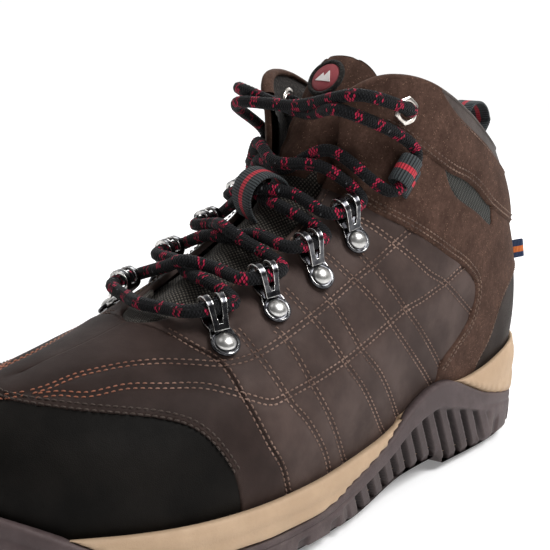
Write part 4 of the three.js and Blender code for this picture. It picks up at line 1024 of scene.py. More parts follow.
def stitchRow(shape, points, normals, offset):
    # A run of short thread stitches whose ends dive into the leather.
    length, radius = stitch["length"], stitch["radius"]
    tangents = unit(np.gradient(points, axis=0))
    side = unit(np.cross(normals, tangents))
    line = points + side * offset * mm
    size = np.linalg.norm(np.diff(line, axis=0), axis=1)
    run = np.concatenate([[0], np.cumsum(size)])
    pitch = (length + stitch["gap"]) * mm
    count = int(run[-1] / pitch)
    if count < 1:
        return
    around = 5
    ring = np.arange(around) * 2 * math.pi / around
    profile = [(-0.5, -0.45, 0.5), (-0.3, 0.3, 0.95), (0, 0.55, 1.0), (0.3, 0.3, 0.95), (0.5, -0.45, 0.5)]
    middles = (np.arange(count) + 0.5) * pitch + (run[-1] - count * pitch) / 2
    verts = []
    for along, up, wide in profile:
        at = middles + along * length * mm
        centre = np.stack([np.interp(at, run, line[:, k]) for k in range(3)], 1)
        n = unit(np.stack([np.interp(at, run, normals[:, k]) for k in range(3)], 1))
        s = unit(np.stack([np.interp(at, run, side[:, k]) for k in range(3)], 1))
        centre = centre + n * (up * radius) * mm
        for angle in ring:
            verts.append(centre + (n * math.sin(angle) + s * math.cos(angle)) * radius * wide * mm)
    verts = np.stack(verts, 1)  # one row of points for each stitch
    each = verts.shape[1]
    starts = each * np.arange(count)
    faces = gridFaces(len(profile), around, closedColumns=True)
    allFaces = (faces[None] + starts[:, None, None]).reshape(-1, 4)
    caps = [starts[:, None] + np.array(cap) for cap in ([4, 3, 2, 1], [20, 21, 22, 23])]
    shape.add(verts.reshape(-1, 3), np.concatenate([allFaces, *caps]))


def reliefAt(u, v, layer, grooves=True):
    # How high the leather's face stands at a place of the upper.
    i = np.clip(np.round((u + 12) * upper["columnsPerStation"]).astype(int), 0, columns - 1)
    j = np.clip(np.round((v - gridV[0]) / (gridV[1] - gridV[0])).astype(int), 0, gridV.size - 1)
    height = (layer - 1) * upper["layerStep"] + (leatherRelief[i, j] if grooves else 0)
    return height + puff[i, j] * (layer >= 3)


def sewn(shape, line, layer=1, rows=(1, -1), inset=0.0, grooves=True, upwards=0):
    # Rows of stitches along a line of the upper.
    points, flat = line
    fine, _ = evenly(np.hstack([points, flat]), 0.0012)
    u, v = fine[:, 3], fine[:, 4]
    n = normal(u, v)
    for row in rows:
        offset = row * stitch["apart"] + inset
        height = reliefAt(u, v + upwards * offset / upper["collarTall"], layer, grooves)
        stitchRow(shape, surface(u, v) + n * height[:, None] * mm, n, offset)


for side, flip in (("lateral", 1), ("medial", -1)):
    quilting = Shape()
    for points in sideLines.values():
        sewn(quilting, stitchedPath(points, flip))
    quilting.make(f"quilt_stitches_{side}", finishes["thread"])
    edging = Shape()
    sewn(edging, stitchedPath(suedeFrontSeam[2:-1], flip), layer=2, inset=2.9 * flip, grooves=False)
    sewn(edging, stitchedPath(collarSeam[1:], flip), layer=3, inset=2.4 * flip, grooves=False, upwards=flip)
    sewn(edging, stitchedPath(heelSeam[1:], flip), layer=2, inset=2.4 * flip, rows=(0,), grooves=False)
    sewn(
        edging, stitchedPath(backTrimSeam[1:], flip), layer=3, inset=-2.0 * flip, rows=(0,), grooves=False,
        upwards=flip
    )
    sewn(edging, stitchedPath(facingEdge[2:-1], flip), layer=1, inset=-2.6 * flip, rows=(0,), grooves=False)
    edging.make(f"edge_stitches_{side}", finishes["darkThread"])
toeRows = Shape()
sewn(toeRows, stitchedPath(toeCurve))
mirroredToe = [(-u, v) for u, v in toeCapSeam[:1:-1]]
toeRows.make("toe_stitches", finishes["thread"])
capRows = Shape()
sewn(capRows, stitchedPath([*mirroredToe[1:], *toeCapSeam[1:-1]]), inset=1.3, grooves=False)
capRows.make("toe_cap_stitches", finishes["darkThread"])
print("stitches made")

# Collar binding, lining and footbed


def tube(centres, sides, up, radiusSide, radiusUp, segments):
    angle = np.arange(segments) * 2 * math.pi / segments
    across = sides[:, None] * (np.cos(angle) * radiusSide)[None, :, None]
    ring = centres[:, None] + across + up[:, None] * (np.sin(angle) * radiusUp)[None, :, None]
    return ring.reshape(-1, 3), gridFaces(len(centres), segments, closedColumns=True)


binding = dict(wide=2.7, high=2.0, start=7.93, suedeTo=9.3, inset=1.5, segments=14)
ringU = np.linspace(binding["start"], stations - binding["start"], 420)
edge = surface(ringU, 1.0)
out = normal(ringU, 1.0)
rise = unit(surface(ringU, 1.0) - surface(ringU, 0.97))
collarRoll = Shape()
wobble = 0.25 * np.sin(ringU * 9) * mm
rollMiddle = edge - out * binding["inset"] * mm + rise * wobble[:, None] * 0.4
rollSides, lastRing = binding["segments"], (len(ringU) - 1) * binding["segments"]
verts, faces = tube(rollMiddle, out, rise, binding["wide"] * mm, binding["high"] * mm, rollSides)
collarRoll.add(verts, faces, seam=noSeam)
collarRoll.faces.append(list(range(rollSides - 1, -1, -1)))
collarRoll.faces.append([lastRing + k for k in range(rollSides)])
ringShare = np.repeat(np.abs(np.where(ringU > 12, stations - ringU, ringU)[:-1]), rollSides)
suedeFaces = np.concatenate([(ringShare < binding["suedeTo"]).astype(int), [1, 1]])
collarRoll.make(
    "collar_binding", [finishes["binding"], finishes["suede"]], slotName="nubuck", faceMaterial=suedeFaces
)

# The lining: a cushion round the ankle, a sewn channel across it, and a rise to meet the collar's rim.
lining = dict(
    depth=5.2, pad=3.6, rimRise=3.0, channelDepth=1.1, channelAt=0.77, channelWidth=0.012, openFrom=3.45,
    openTo=7.9
)
liningU = np.linspace(-12, 12, 361)
liningV = np.linspace(0.03, 1.0, 61)
lu, lv = np.meshgrid(liningU, liningV, indexing="ij")
cushion = lining["pad"] * smooth(8.2, 9.4, np.abs(lu)) * smooth(0.48, 0.6, lv) * (1 - smooth(0.9, 1.0, lv))
channel = np.exp(-(((lv - lining["channelAt"]) / lining["channelWidth"]) ** 2))
channel = lining["channelDepth"] * channel * smooth(8.6, 9.4, np.abs(lu))
inside = raised(lu, lv, -(lining["depth"] + cushion - channel - lining["rimRise"] * smooth(0.93, 1.0, lv)))
cellStation = stationOf(lu[:-1, :-1])
inThroat = (cellStation > lining["openFrom"]) & (cellStation < lining["openTo"])
inThroat &= lv[:-1, :-1] > keyed(facingEdge, cellStation) - 0.012
liningFaces = gridFaces(*lu.shape, flip=True).reshape(*cellStation.shape, 4)
makeObject("lining_skin", inside.reshape(-1, 3), liningFaces[~inThroat], finishes["lining"], node="lining",
           slotName="lining_fabric", values={"seam": np.full(lu.size, noSeam)})

featherStep = 0.05


def soleRing(u):
    feather = surface(u, 0)
    tangent = surface(u + featherStep, 0) - surface(u - featherStep, 0)
    out = np.stack([tangent[..., 1], -tangent[..., 0], np.zeros_like(tangent[..., 0])], -1)
    return feather, unit(out)


def onRing(ring, distance, z):
    feather, out = ring
    point = feather + out * np.broadcast_to(distance, feather.shape[:-1])[..., None] * mm
    point[..., 2] = np.asarray(z) * mm
    return point


def middleOf(u, z):
    feather, partner = surface(u, 0), surface(stations - u, 0)
    lengthwise = (feather[..., 1] - centring[1] * mm) * 0.8 + centring[1] * mm
    height = np.broadcast_to(np.asarray(z) * mm, feather.shape[:-1])
    return np.stack([(feather[..., 0] + partner[..., 0]) / 2, lengthwise, height], -1)


def vAtHeight(u, z):
    # The v at which the upper reaches a height.
    v = np.zeros_like(u)
    for _ in range(40):
        v += (z - surface(u, v)[..., 2] / mm) / 160
    return v


def girth(u, z):
    # How far the upper stands out past the sole's edge line at a height, in millimetres.
    feather, out = soleRing(u)
    return ((surface(u, vAtHeight(u, z)) - feather) * out).sum(-1) / mm


def ringObject(name, rows, material, **options):
    # rows: one loop of points round the boot for each step of the cross-section
    count = rows[0].shape[0]
    verts = np.concatenate(rows)
    faces = gridFaces(len(rows), count, closedColumns=True, flip=True)
    return makeObject(name, verts, faces, material, **options)


def between(a, b, steps, last=False):
    return [a + (b - a) * t for t in np.linspace(0, 1, steps, endpoint=last)]


# Thickness of each layer between the leather's face and the foot, in millimetres.
layers = dict(leather=1.6, lining=1.2, gaps=0.6, toePuff=1.2, heelCounter=1.8)
upperDepth = layers["leather"] + layers["lining"] + layers["gaps"]
footbed = dict(clearance=0.9, edgeLean=0.3, lip=1.9, flatInset=9, thickness=5, dish=0.9)
soleU = np.arange(0, stations, stations / 960)
ring = soleRing(soleU)
half = stationOf(soleU)
stiffener = np.maximum(layers["toePuff"] * (half <= 3.6), layers["heelCounter"] * (half >= 8.9))
footbedInset = upperDepth + stiffener + footbed["clearance"]
featherZ = ring[0][..., 2] / mm
rimV = keyed([(0, 0.03), (8, 0.04), (9.5, 0.1), (12, 0.12)], half)
bedLow = featherZ + 0.3
bedTop = bedLow + footbed["thickness"]
bedRows = [middleOf(soleU, bedLow), onRing(ring, -footbedInset, bedLow)]
bedRows += [raised(soleU, rimV, -(footbedInset + more)) for more in (footbed["edgeLean"], footbed["lip"])]
lipRow, flatRow = bedRows[-1], onRing(ring, -footbedInset - footbed["flatInset"], bedTop)
down = np.array([0, 0, 1])
dished = [
    lipRow * (1 - t) + flatRow * t - down * math.sin(math.pi * t) * footbed["dish"] * mm
    for t in np.linspace(0, 1, 6)[1:]
]
floor = between(dished[-1], middleOf(soleU, bedTop), 6, True)[1:]
ringObject(
    "footbed_cover", bedRows + dished + floor, finishes["footbed"], body="footbed", node="footbed",
    slotName="footbed_cover"
)
print("lining and footbed made")

# Sole unit

sole = dict(
    lugHeight=4, plate=4, overhang=5.4, wall=2.7, lugBevel=1.0,
    fluteDepth=3.0, flutePitch=10.2, fluteLean=0.55, finTop=0.62,  # the deep flutes at the waist and heel
    nickDepth=1.1, nickPitch=19, lineDepth=0.5, lineAt=0.8,  # shallow nicks and one line round the rest
    rimThickness=2.2,
)
rubberTopKeys = [
    (0, 37), (1, 34), (1.5, 30), (2.2, 21), (3, 14.5), (4, 13.5), (5, 14.5), (5.6, 20), (6.4, 27),
    (6.9, 36), (7.4, 41.5), (7.8, 43), (8.2, 41), (8.6, 36), (9.2, 29), (10, 23.5), (11, 19), (12, 16)
]
rimKeys = [
    (0, 25), (1.5, 25), (2, 26), (3, 25.5), (4, 25.5), (5, 26), (6, 28.5), (6.4, 30), (6.9, 34.5),
    (7.4, 40), (7.8, 41.5), (8.2, 39.5), (8.6, 39), (9.2, 41), (9.7, 44.5), (10.3, 47.5), (12, 49)
]


def eased(keys, x):
    # The keys, with their corners rounded.
    weights = ((-0.24, 1), (-0.12, 2), (0, 3), (0.12, 2), (0.24, 1))
    return sum(keyed(keys, x + d) * k for d, k in weights) / 9


def groundRise(y):
    return 8 * np.clip((-y - 95) / 55, 0, 1) ** 2 + 5 * np.clip((y - 128) / 25, 0, 1) ** 2


def archRise(y):
    return 5 * smooth(-12, 30, y) * (1 - smooth(56, 64, y))


def plateBottom(y):
    return sole["lugHeight"] + groundRise(y) + archRise(y)


soleY = ring[0][..., 1] / mm - centring[1]
low = plateBottom(soleY)
rimZ = eased(rimKeys, half)
rubberTop = np.maximum(eased(rubberTopKeys, half), low + sole["plate"] + 1)
overRim = smooth(-0.5, 1.5, rubberTop - rimZ)  # 1 where the rubber covers the midsole
runLength = np.concatenate([[0], np.cumsum(np.linalg.norm(np.diff(ring[0], axis=0), axis=1))]) / mm
atTop = girth(soleU, rubberTop) + 0.6
inner = sole["overhang"] - sole["wall"]
lipInside = inner + (atTop - inner) * overRim
lip = np.maximum(sole["overhang"], lipInside + sole["rimThickness"])
treadEdge = onRing(ring, sole["overhang"] - 1.6, low)
wallRows = [middleOf(soleU, low)] + between(middleOf(soleU, low), treadEdge, 8, True)[1:]
fluted = smooth(5.2, 5.9, half) * (1 - smooth(8.8, 9.5, half))
toothed = 1 - fluted
# painted shade on the underside rows of the tread
hollowRows = [np.full(len(soleU), 0.6)] * len(wallRows)
for t in np.linspace(0, 1, 40):
    z = low + (rubberTop - 1 - low) * t
    bow = sole["overhang"] + (lip - sole["overhang"]) * smooth(0.1, 1, t) + 0.35 * math.sin(math.pi * t)
    bow = bow - 1.6 * (1 - smooth(0, 0.12, t))
    lean = runLength + (z - 20) * sole["fluteLean"]
    wave = 0.5 + 0.5 * np.cos(2 * math.pi * lean / sole["flutePitch"])
    finTop = sole["finTop"]
    cut = sole["fluteDepth"] * fluted * smooth(0.52, 0.82, wave) * (1 - smooth(finTop, finTop + 0.08, t))
    cut = cut + 0.9 * fluted * (1 - smooth(finTop + 0.04, finTop + 0.1, t))
    nickWave = 0.5 + 0.5 * np.cos(2 * math.pi * runLength / sole["nickPitch"])
    nick = sole["nickDepth"] * toothed * smooth(0.7, 0.95, nickWave) * (1 - smooth(0.35, 0.6, t))
    line = sole["lineDepth"] * np.exp(-(((t - sole["lineAt"]) / 0.05) ** 2)) * toothed
    wallRows.append(onRing(ring, bow - cut - nick - line, z))
    # painted shade in the flutes and nicks, by how deep they are cut
    hollowRows.append(np.clip((cut + nick) / 2.4, 0, 1))
wallRows += [
    onRing(ring, lip - 0.25, rubberTop - 0.4), onRing(ring, lip - 0.8, rubberTop),
    onRing(ring, lipInside, rubberTop), onRing(ring, lipInside, rubberTop - 4)
]
outsole = Shape()
hollowRows += [np.zeros(len(soleU))] * (len(wallRows) - len(hollowRows))
outsole.add(
    np.concatenate(wallRows), gridFaces(len(wallRows), len(soleU), closedColumns=True, flip=True),
    hollow=np.concatenate(hollowRows)
)

# Each row of lugs: how far along the boot, and half its length.
lugRows = [
    (-130, 6.5), (-110, 7), (-91, 7), (-72, 7), (-53, 7), (-34, 7), (74, 7.5), (94, 7), (114, 7), (133, 6)
]


def soleEdges(y):
    u = 6.0
    for _ in range(60):
        u = min(11.9, max(0.1, u + (y - (surface(u, 0)[1] / mm - centring[1])) / 60))
    return surface(stations - u, 0)[0] / mm - centring[0], surface(u, 0)[0] / mm - centring[0]


def lugOutline(wide, long, lean, inset):
    w, h = wide - inset, long - inset
    return [
        (-w, -h * 0.5 + lean), (0, -h), (w, -h * 0.5 - lean), (w, h * 0.7 - lean), (0, h * 0.4),
        (-w, h * 0.7 + lean)
    ]


for y, long in lugRows:
    innerX, outerX = soleEdges(y)
    lane = (outerX - innerX) / 3
    for place in (-1, 0, 1):
        x = (innerX + outerX) / 2 + place * (lane + 1)
        yy = y + (3 if place else 0)
        foot = groundRise(yy)
        levels = [
            (sole["lugHeight"] + archRise(yy) + 1.5 + foot, -0.9), (foot + 2.2, 0.0),
            (foot + sole["lugBevel"] * 0.5, 0.15), (foot, sole["lugBevel"] * 0.8), (foot, 2.6),
            (foot + 1.0, 3.1)
        ]
        rings = []
        for z, inset in levels:
            outline = lugOutline(lane / 2 - 2.2, long, place * 1.5, inset)
            rings.append([(px + x + centring[0], py + yy + centring[1], z) for px, py in outline])
        verts = np.array(rings).reshape(-1, 3) * mm
        faces = gridFaces(len(levels), 6, closedColumns=True).tolist()
        faces += [[6 * (len(levels) - 1) + k for k in range(6)], [5, 4, 3, 2, 1, 0]]
        outsole.add(verts, faces, hollow=0.0)
tread = outsole.make(
    "outsole_tread", finishes["rubber"], node="outsole", slotName="sole_rubber", rounded=False
)
for polygon in tread.data.polygons[: (len(wallRows) - 1) * len(soleU)]:
    polygon.use_smooth = True

# The midsole fills the rubber cup and bulges above it, with one shallow line along its wall.
midsole = dict(rim=2.4, floorDrop=2.9, foot=4.4, play=0.3, bulge=0.5, topRound=1.2, line=0.5, lineAt=0.62)
cup = girth(soleU, rimZ) + 0.5
face = np.maximum(sole["overhang"], cup + midsole["rim"])
cupFloor = featherZ - midsole["floorDrop"]
footZ = midsole["foot"]
under = sole["overhang"] - sole["wall"] - midsole["play"]
midRows = [middleOf(soleU, low + 1), onRing(ring, under, low + footZ)]
under = under - 2.4 * fluted
for t in np.linspace(0, 1, 16):
    z = (low + footZ) + (rimZ - low - footZ) * t
    wallOut = sole["overhang"] + (face - sole["overhang"]) * t
    wallOut = wallOut + midsole["bulge"] * math.sin(math.pi * t) - midsole["topRound"] * smooth(0.82, 1, t)
    wallOut = wallOut - midsole["line"] * np.exp(-(((t - midsole["lineAt"]) / 0.05) ** 2))
    hidden = np.minimum(under, wallOut)
    covered = smooth(1.2, -0.6, z - rubberTop)
    midRows.append(onRing(ring, wallOut * (1 - covered) + hidden * covered, z))
rimSteps = [
    (face - 1.7, rimZ + 0.25), (cup + 0.4, rimZ + 0.1), (cup - 0.6, rimZ - 1.5), (0.6, featherZ),
    (0.6, cupFloor)
]
midRows += [onRing(ring, wide, z) for wide, z in rimSteps] + [middleOf(soleU, cupFloor)]
ringObject("midsole_foam", midRows, finishes["midsole"], node="midsole", slotName="midsole_foam")
print("sole made")

# Tongue

# Rows up the tongue: the lower ones hang from the upper's surface, the others are set by points.
tongueDrop = layers["leather"] + layers["lining"] + 1.8
tongueRows = [
    dict(u=3.3, edge=0.84, rise=-tongueDrop - 0.3),
    dict(u=4, edge=0.72, rise=-2.4),
    dict(u=4.8, edge=0.69, rise=-1.8),
    dict(u=5.6, edge=0.67, rise=-1.6),
    dict(u=6.3, edge=0.67, rise=-1.6),
    dict(middle=(0, 3.6, 129), side=(24, 26, 122.5)),
    dict(middle=(0.5, 10.6, 141.3), side=(24, 28.1, 136.3)),
    dict(middle=(1, 16.5, 154), side=(21.5, 31.5, 148.5)),
    dict(middle=(1.5, 23, 165.5), side=(21, 36, 159.5)),
    dict(middle=(2, 30, 175.4), side=(18, 39.5, 169.9)),
]
tongue = dict(
    thickness=6.6, columns=56, stepsPerRow=14, suedeFrom=4.9, clothTo=5.8, crease=6.0, cornerDrop=9,
    foldAt=0.42, foldDepth=0.9
)


def tongueFront(row, share):
    s = np.abs(share)
    if "middle" in row:
        middle = np.array(row["middle"], float) + centring
        x, y, z = row["side"]
        edges = np.where(share[:, None] > 0, [[x, y, z]], [[-x, y, z]]) + centring
        points = middle + (edges - middle) * (s**2)[:, None]
        points[:, 0] = middle[0] + (edges[:, 0] - middle[0]) * s
        return points * mm
    drop = row["rise"] + (-tongueDrop - row["rise"]) * smooth(0.05, 0.36, s)
    u = np.where(share > 0, row["u"], stations - row["u"])
    return raised(u, 1 - (1 - row["edge"]) * s, drop)


tongueShare = np.sin(np.linspace(-1, 1, tongue["columns"] + 1) * math.pi / 2)
controlRows = np.stack([tongueFront(row, tongueShare) for row in tongueRows])
frontGrid = np.stack(
    [splineThrough(controlRows[:, k], tongue["stepsPerRow"]) for k in range(len(tongueShare))], 1
)
rowIndex = np.linspace(0, len(tongueRows) - 1, frontGrid.shape[0])
middleLine = frontGrid[:, len(tongueShare) // 2].copy()
climb = unit(np.gradient(middleLine, axis=0))
corner = 1 - np.sqrt(1 - np.clip((np.abs(tongueShare) - 0.4) / 0.62, 0, 1) ** 2)
cornerShare = corner[None, :] * smooth(6.4, 9, rowIndex)[:, None]
frontGrid -= climb[:, None] * cornerShare[..., None] * tongue["cornerDrop"] * mm
wide = len(tongueShare)
sideways = np.broadcast_to(-0.5 * tongueShare, (len(climb), wide))
inward = unit(np.stack([sideways, np.repeat(climb[:, 2:3], wide, 1), np.repeat(-climb[:, 1:2], wide, 1)], -1))
edgeFade = 1 - 0.65 * np.abs(tongueShare) ** 3
lengthRun = np.concatenate([[0], np.cumsum(np.linalg.norm(np.diff(middleLine, axis=0), axis=1))])
widthSteps = np.linalg.norm(np.diff(frontGrid, axis=1), axis=2)
widthRun = np.concatenate([np.zeros((len(frontGrid), 1)), np.cumsum(widthSteps, axis=1)], 1)


def tonguePad(name, first, last, material, relief, lift, **options):
    # A closed pad between two rows, crowned in the middle and thin at its edges.
    pick = slice(first, last + 1)
    proud = lift + relief(rowIndex[pick][:, None], tongueShare[None, :])
    front = frontGrid[pick] - inward[pick] * proud[..., None] * mm
    rows, cols = front.shape[:2]
    edgeRound = 1 - 0.8 * (np.abs(np.linspace(-1, 1, rows)) ** 14)[:, None]
    deep = tongue["thickness"] * edgeFade[None, :] * edgeRound
    back = frontGrid[pick] + inward[pick] * deep[..., None] * mm
    verts = np.concatenate([(front + (back - front) * t).reshape(-1, 3) for t in (0, 0.5, 1)])
    faces = [gridFaces(rows, cols), gridFaces(rows, cols, start=2 * rows * cols, flip=True)]
    size = rows * cols
    # once round the edge of the pad: the bottom row, one side, the top row and the other side
    loop = list(range(cols)) + [i * cols + cols - 1 for i in range(1, rows)]
    loop += [(rows - 1) * cols + j for j in range(cols - 2, -1, -1)]
    loop += [i * cols for i in range(rows - 2, 0, -1)]
    loop = np.array(loop)
    ahead = np.roll(loop, -1)
    for front, back in ((0, size), (size, 2 * size)):
        faces.append(np.stack([loop + front, loop + back, ahead + back, ahead + front], 1))
    along = np.tile(np.repeat(lengthRun[pick][:, None], cols, 1).ravel(), 3)
    across = np.tile(widthRun[pick].ravel(), 3)
    values = {"along": along, "across": across, "seam": np.full(len(verts), noSeam)}
    return makeObject(name, verts, np.concatenate(faces), material, values=values, **options)


def clothRelief(row, share):
    return 0.9 * (1 - np.abs(share) ** 2) + 0.35 * np.sin(row * 5.1 + share * 2) * (1 - np.abs(share))


def suedeRelief(row, share):
    at, deep = tongue["foldAt"], tongue["foldDepth"]
    fold = -deep * np.exp(-(((share - at) / 0.05) ** 2)) - deep * np.exp(-(((share + at) / 0.05) ** 2))
    upTheTop = np.clip((row - tongue["suedeFrom"]) / (9 - tongue["suedeFrom"]), 0, 1)
    crown = 1.4 * (1 - share**2) * np.sin(math.pi * upTheTop) ** 0.5
    wrinkle = 0.4 * np.sin(row * 7.3 + share * 4) * np.exp(-(((row - 6) / 0.9) ** 2))
    return crown + fold + wrinkle


steps = tongue["stepsPerRow"]
suedeFirst = int(tongue["suedeFrom"] * steps)
clothLast, suedeLast = int(tongue["clothTo"] * steps), len(frontGrid) - 1
tongueCloth = tonguePad(
    "tongue_lower_cloth", 0, clothLast, finishes["meshFabric"], clothRelief, 0.0,
    node="tongue_lower", slotName="mesh_fabric"
)
tongueSuede = tonguePad(
    "tongue_top_suede", suedeFirst, suedeLast, finishes["suede"], suedeRelief, 0.9,
    body=None, node="tongue_top", slotName="suede"
)
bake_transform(tongueSuede)

badge = dict(radius=6.5, ring=2.1, row=8, standOff=2.1)
badgeRow = int(badge["row"] * steps)
badgeMid = frontGrid[badgeRow, wide // 2]
badgeOut = -inward[badgeRow, wide // 2]
badgeUp = climb[badgeRow]
badgeSide = np.cross(badgeUp, badgeOut)


def disc(profile, segments, origin, axes, lobes=None):
    # A turned shape: (radius, height) pairs from the middle out, on axes (side, up, out).
    angle = np.arange(segments) * 2 * math.pi / segments
    side, up, out = axes
    rows = []
    for radius, height in profile:
        r = radius * (lobes(angle) if lobes is not None and radius > 0 else 1)
        across = side[None] * (np.cos(angle) * r)[:, None] + up[None] * (np.sin(angle) * r)[:, None]
        rows.append(origin + (across + out[None] * height) * mm)
    return np.concatenate(rows), gridFaces(len(profile), segments, closedColumns=True)


badgeAxes = (badgeSide, badgeUp, badgeOut)
badgeLift = badgeMid + badgeOut * badge["standOff"] * mm
plateProfile = [
    (0.01, 1.0), (3, 1.0), (5.6, 0.9), (badge["radius"], 0.45), (badge["radius"], -1.2), (0.01, -1.2)
]
plate = Shape()
plate.add(*disc(plateProfile, 48, badgeLift, badgeAxes))
plate.make(
    "badge_disc_print", finishes["badge"], body="tongue_top", node="badge_disc", slotName="badge_print"
)
rim = Shape()
rimRadius, tubeRadius = badge["radius"] + badge["ring"] / 2, badge["ring"] / 2
rimProfile = [
    (rimRadius + tubeRadius * math.cos(a), 0.55 * math.sin(a) * 2 - 0.1)
    for a in np.linspace(0, 2 * math.pi, 13)
]
rim.add(*disc(rimProfile, 64, badgeLift, badgeAxes))
rim.make("badge_ring_cord", finishes["trim"], body="tongue_top", node="badge_ring", slotName="trim_fabric")
mark = Shape()
# Each peak's corners and its height.
peaks = [([(-4.0, -2.1), (0.9, -2.1), (-1.5, 1.7)], 1.22), ([(-1.6, -2.1), (4.0, -2.1), (1.2, 2.9)], 1.3)]
for peak, height in peaks:
    corners = [
        badgeLift + (badgeSide * x + badgeUp * y + badgeOut * h) * mm
        for h in (0.6, height) for x, y in peak
    ]
    mark.add(corners, [[3, 4, 5], [0, 1, 4, 3], [1, 2, 5, 4], [2, 0, 3, 5]])
mark.make("badge_peaks", finishes["badgeMark"], body="tongue_top", rounded=False)
print("tongue made")

# Hardware on frames that stand on the upper

# A spot is where a piece stands on the upper, and the point it looks towards.
hookSpots = [
    ((4.07, 0.625), (4.25, 0.81)), ((4.9, 0.625), (5.05, 0.8)), ((5.72, 0.625), (5.86, 0.8)),
    ((6.54, 0.64), (6.7, 0.8))
]
eyeletSpot = ((8.53, 0.9), (8.05, 0.97))
ankleLoopSpot = ((8.02, 0.66), (7.62, 0.86))
hookShape = dict(width=9, gauge=1.1, reach=13, bend=3.85, seat=1.15, ringRadius=4.75, hole=1.9, bevel=0.22)
eyelet = dict(across=5.35, hole=3.3, neck=3.9, depth=6.0)
laceRadius = 2.5
laceSeat = hookShape["seat"] + hookShape["bend"]


def frameOn(spot, flip):
    # Where a piece stands on the upper: its origin, its long way, its side way and up.
    (u, v), (tu, tv) = spot
    origin = surface(flip * u, v)
    up = normal(flip * u, v)
    along = surface(flip * tu, tv) - origin
    along = unit(along - up * (along @ up))
    return origin, along, np.cross(up, along), up


def placed(frameAxes, points):
    origin, along, side, up = frameAxes
    p = np.asarray(points, float)
    return origin + (p[..., 0:1] * along + p[..., 1:2] * side + p[..., 2:3] * up) * mm


def arcPoints(cx, cy, radius, start, end, count):
    return [
        (cx + radius * math.cos(math.radians(a)), cy + radius * math.sin(math.radians(a)))
        for a in np.linspace(start, end, count)
    ]


def hookMesh():
    # A strap that leaves the rivet, rounds the lace and comes back to the ring, split in two rails on top.
    h = hookShape
    bend = arcPoints(h["reach"], laceSeat, h["bend"], -90, 118, 16)
    path = [
        (-4.45, h["seat"]), (h["reach"] - 3, h["seat"]), *bend, (5.9, h["seat"] + 2.9),
        (4.2, h["seat"] + 1.75)
    ]
    line, _ = evenly(np.array(path), 0.42)
    tangent = unit(np.gradient(line, axis=0))
    out = np.stack([-tangent[:, 1], tangent[:, 0]], 1)
    share = np.linspace(0, 1, len(line))
    across = np.linspace(-1, 1, 17)
    base = h["width"] / 2
    halfWide = base * (1 - 0.36 * smooth(0.55, 0.98, share) - 0.06 * np.exp(-(((share - 0.5) / 0.1) ** 2)))
    waist = 1 - 0.2 * np.exp(-(((line[:, 0] - 6.2) / 1.8) ** 2)) * (share < 0.4)
    halfWide = np.minimum(halfWide, base) * waist
    halfWide = np.where(line[:, 0] < 0, np.sqrt(np.maximum(base**2 - line[:, 0] ** 2, 0.2)), halfWide)
    crown = 0.35 * smooth(0.45, 0.6, share)
    verts, faces = [], []
    for side in (-1, 1):
        lift = side * h["gauge"] / 2
        for k in range(len(line)):
            bow = crown[k] * (1 - across**2)
            offset = -(lift + bow)
            rolled = 0.25 * np.abs(across) ** 8 * -side
            x = line[k, 0] + out[k, 0] * (offset + rolled)
            z = line[k, 1] + out[k, 1] * (offset + rolled)
            verts.append(np.stack([x, across * halfWide[k], z], 1))
    verts = np.concatenate(verts)
    n, m = len(line), len(across)
    keep = np.ones((n - 1, m - 1), bool)
    slotFrom, slotTo = int(0.5 * n), int(0.93 * n)
    keep[slotFrom:slotTo, 6:10] = False
    keep[slotFrom : slotTo - 4, 5:11] = False
    fromRivet = np.hypot(line[:-1, 0][:, None], (across[:-1] + across[1:])[None, :] / 2 * base)
    keep &= ~((fromRivet < h["hole"]) & (share[:-1, None] < 0.4))
    a = gridFaces(n, m).reshape(n - 1, m - 1, 4)
    faces = a[keep].tolist() + (a[keep][:, ::-1] + n * m).tolist()
    seen = {(p, q) for f in a[keep].tolist() for p, q in zip(f, [*f[1:], f[0]])}
    for p, q in seen:
        if (q, p) not in seen:
            faces.append([q, p, p + n * m, q + n * m])
    return verts, faces


hookVerts, hookFaces = hookMesh()
ringTube = [
    (hookShape["ringRadius"] + 0.55 * math.cos(a), 1.25 + 0.85 * math.sin(a))
    for a in np.linspace(0, 2 * math.pi, 11)
]
domeProfile = [
    (0.01, 3.95), (1.0, 3.88), (2.0, 3.6), (2.9, 3.1), (3.5, 2.45), (3.7, 1.95), (3.45, 1.6), (1.6, 1.55),
    (1.6, -1.5), (0.01, -1.5)
]
unitAxes = (np.array([1.0, 0, 0]), np.array([0, 1.0, 0]), np.array([0, 0, 1.0]))


def turnedOn(axes, profile, segments, lobes=None):
    # A turned shape standing on a frame of the upper.
    points, faces = disc(profile, segments, np.zeros(3), unitAxes, lobes)
    return placed(axes, points / mm), faces


def bevelled(obj, width, segments=2, limit=35):
    bevel = obj.modifiers.new("bevel", "BEVEL")
    bevel.width, bevel.segments, bevel.limit_method = width * mm, segments, "ANGLE"
    bevel.angle_limit = math.radians(limit)


for side, flip in (("lateral", 1), ("medial", -1)):
    for k, spot in enumerate(hookSpots, 1):
        axes = frameOn(spot, flip)
        bent = Shape()
        bent.add(placed(axes, hookVerts), hookFaces)
        bent.add(*turnedOn(axes, ringTube, 40))
        hook = bent.make(
            f"lace_hook_{side}_{k}_bent", finishes["gunmetal"], node=f"lace_hook_{side}_{k}",
            slotName="gunmetal"
        )
        bevelled(hook, hookShape["bevel"])
        dome = Shape()
        dome.add(*turnedOn(axes, domeProfile, 40))
        dome.make(
            f"hook_rivet_{side}_{k}_dome", finishes["rivet"], node=f"hook_rivet_{side}_{k}",
            slotName="gunmetal"
        )


def hexLobes(angle):
    # Turns a round rim into a soft hexagon.
    return 1 / np.cos((angle + math.pi / 6) % (math.pi / 3) - math.pi / 6) ** 0.75


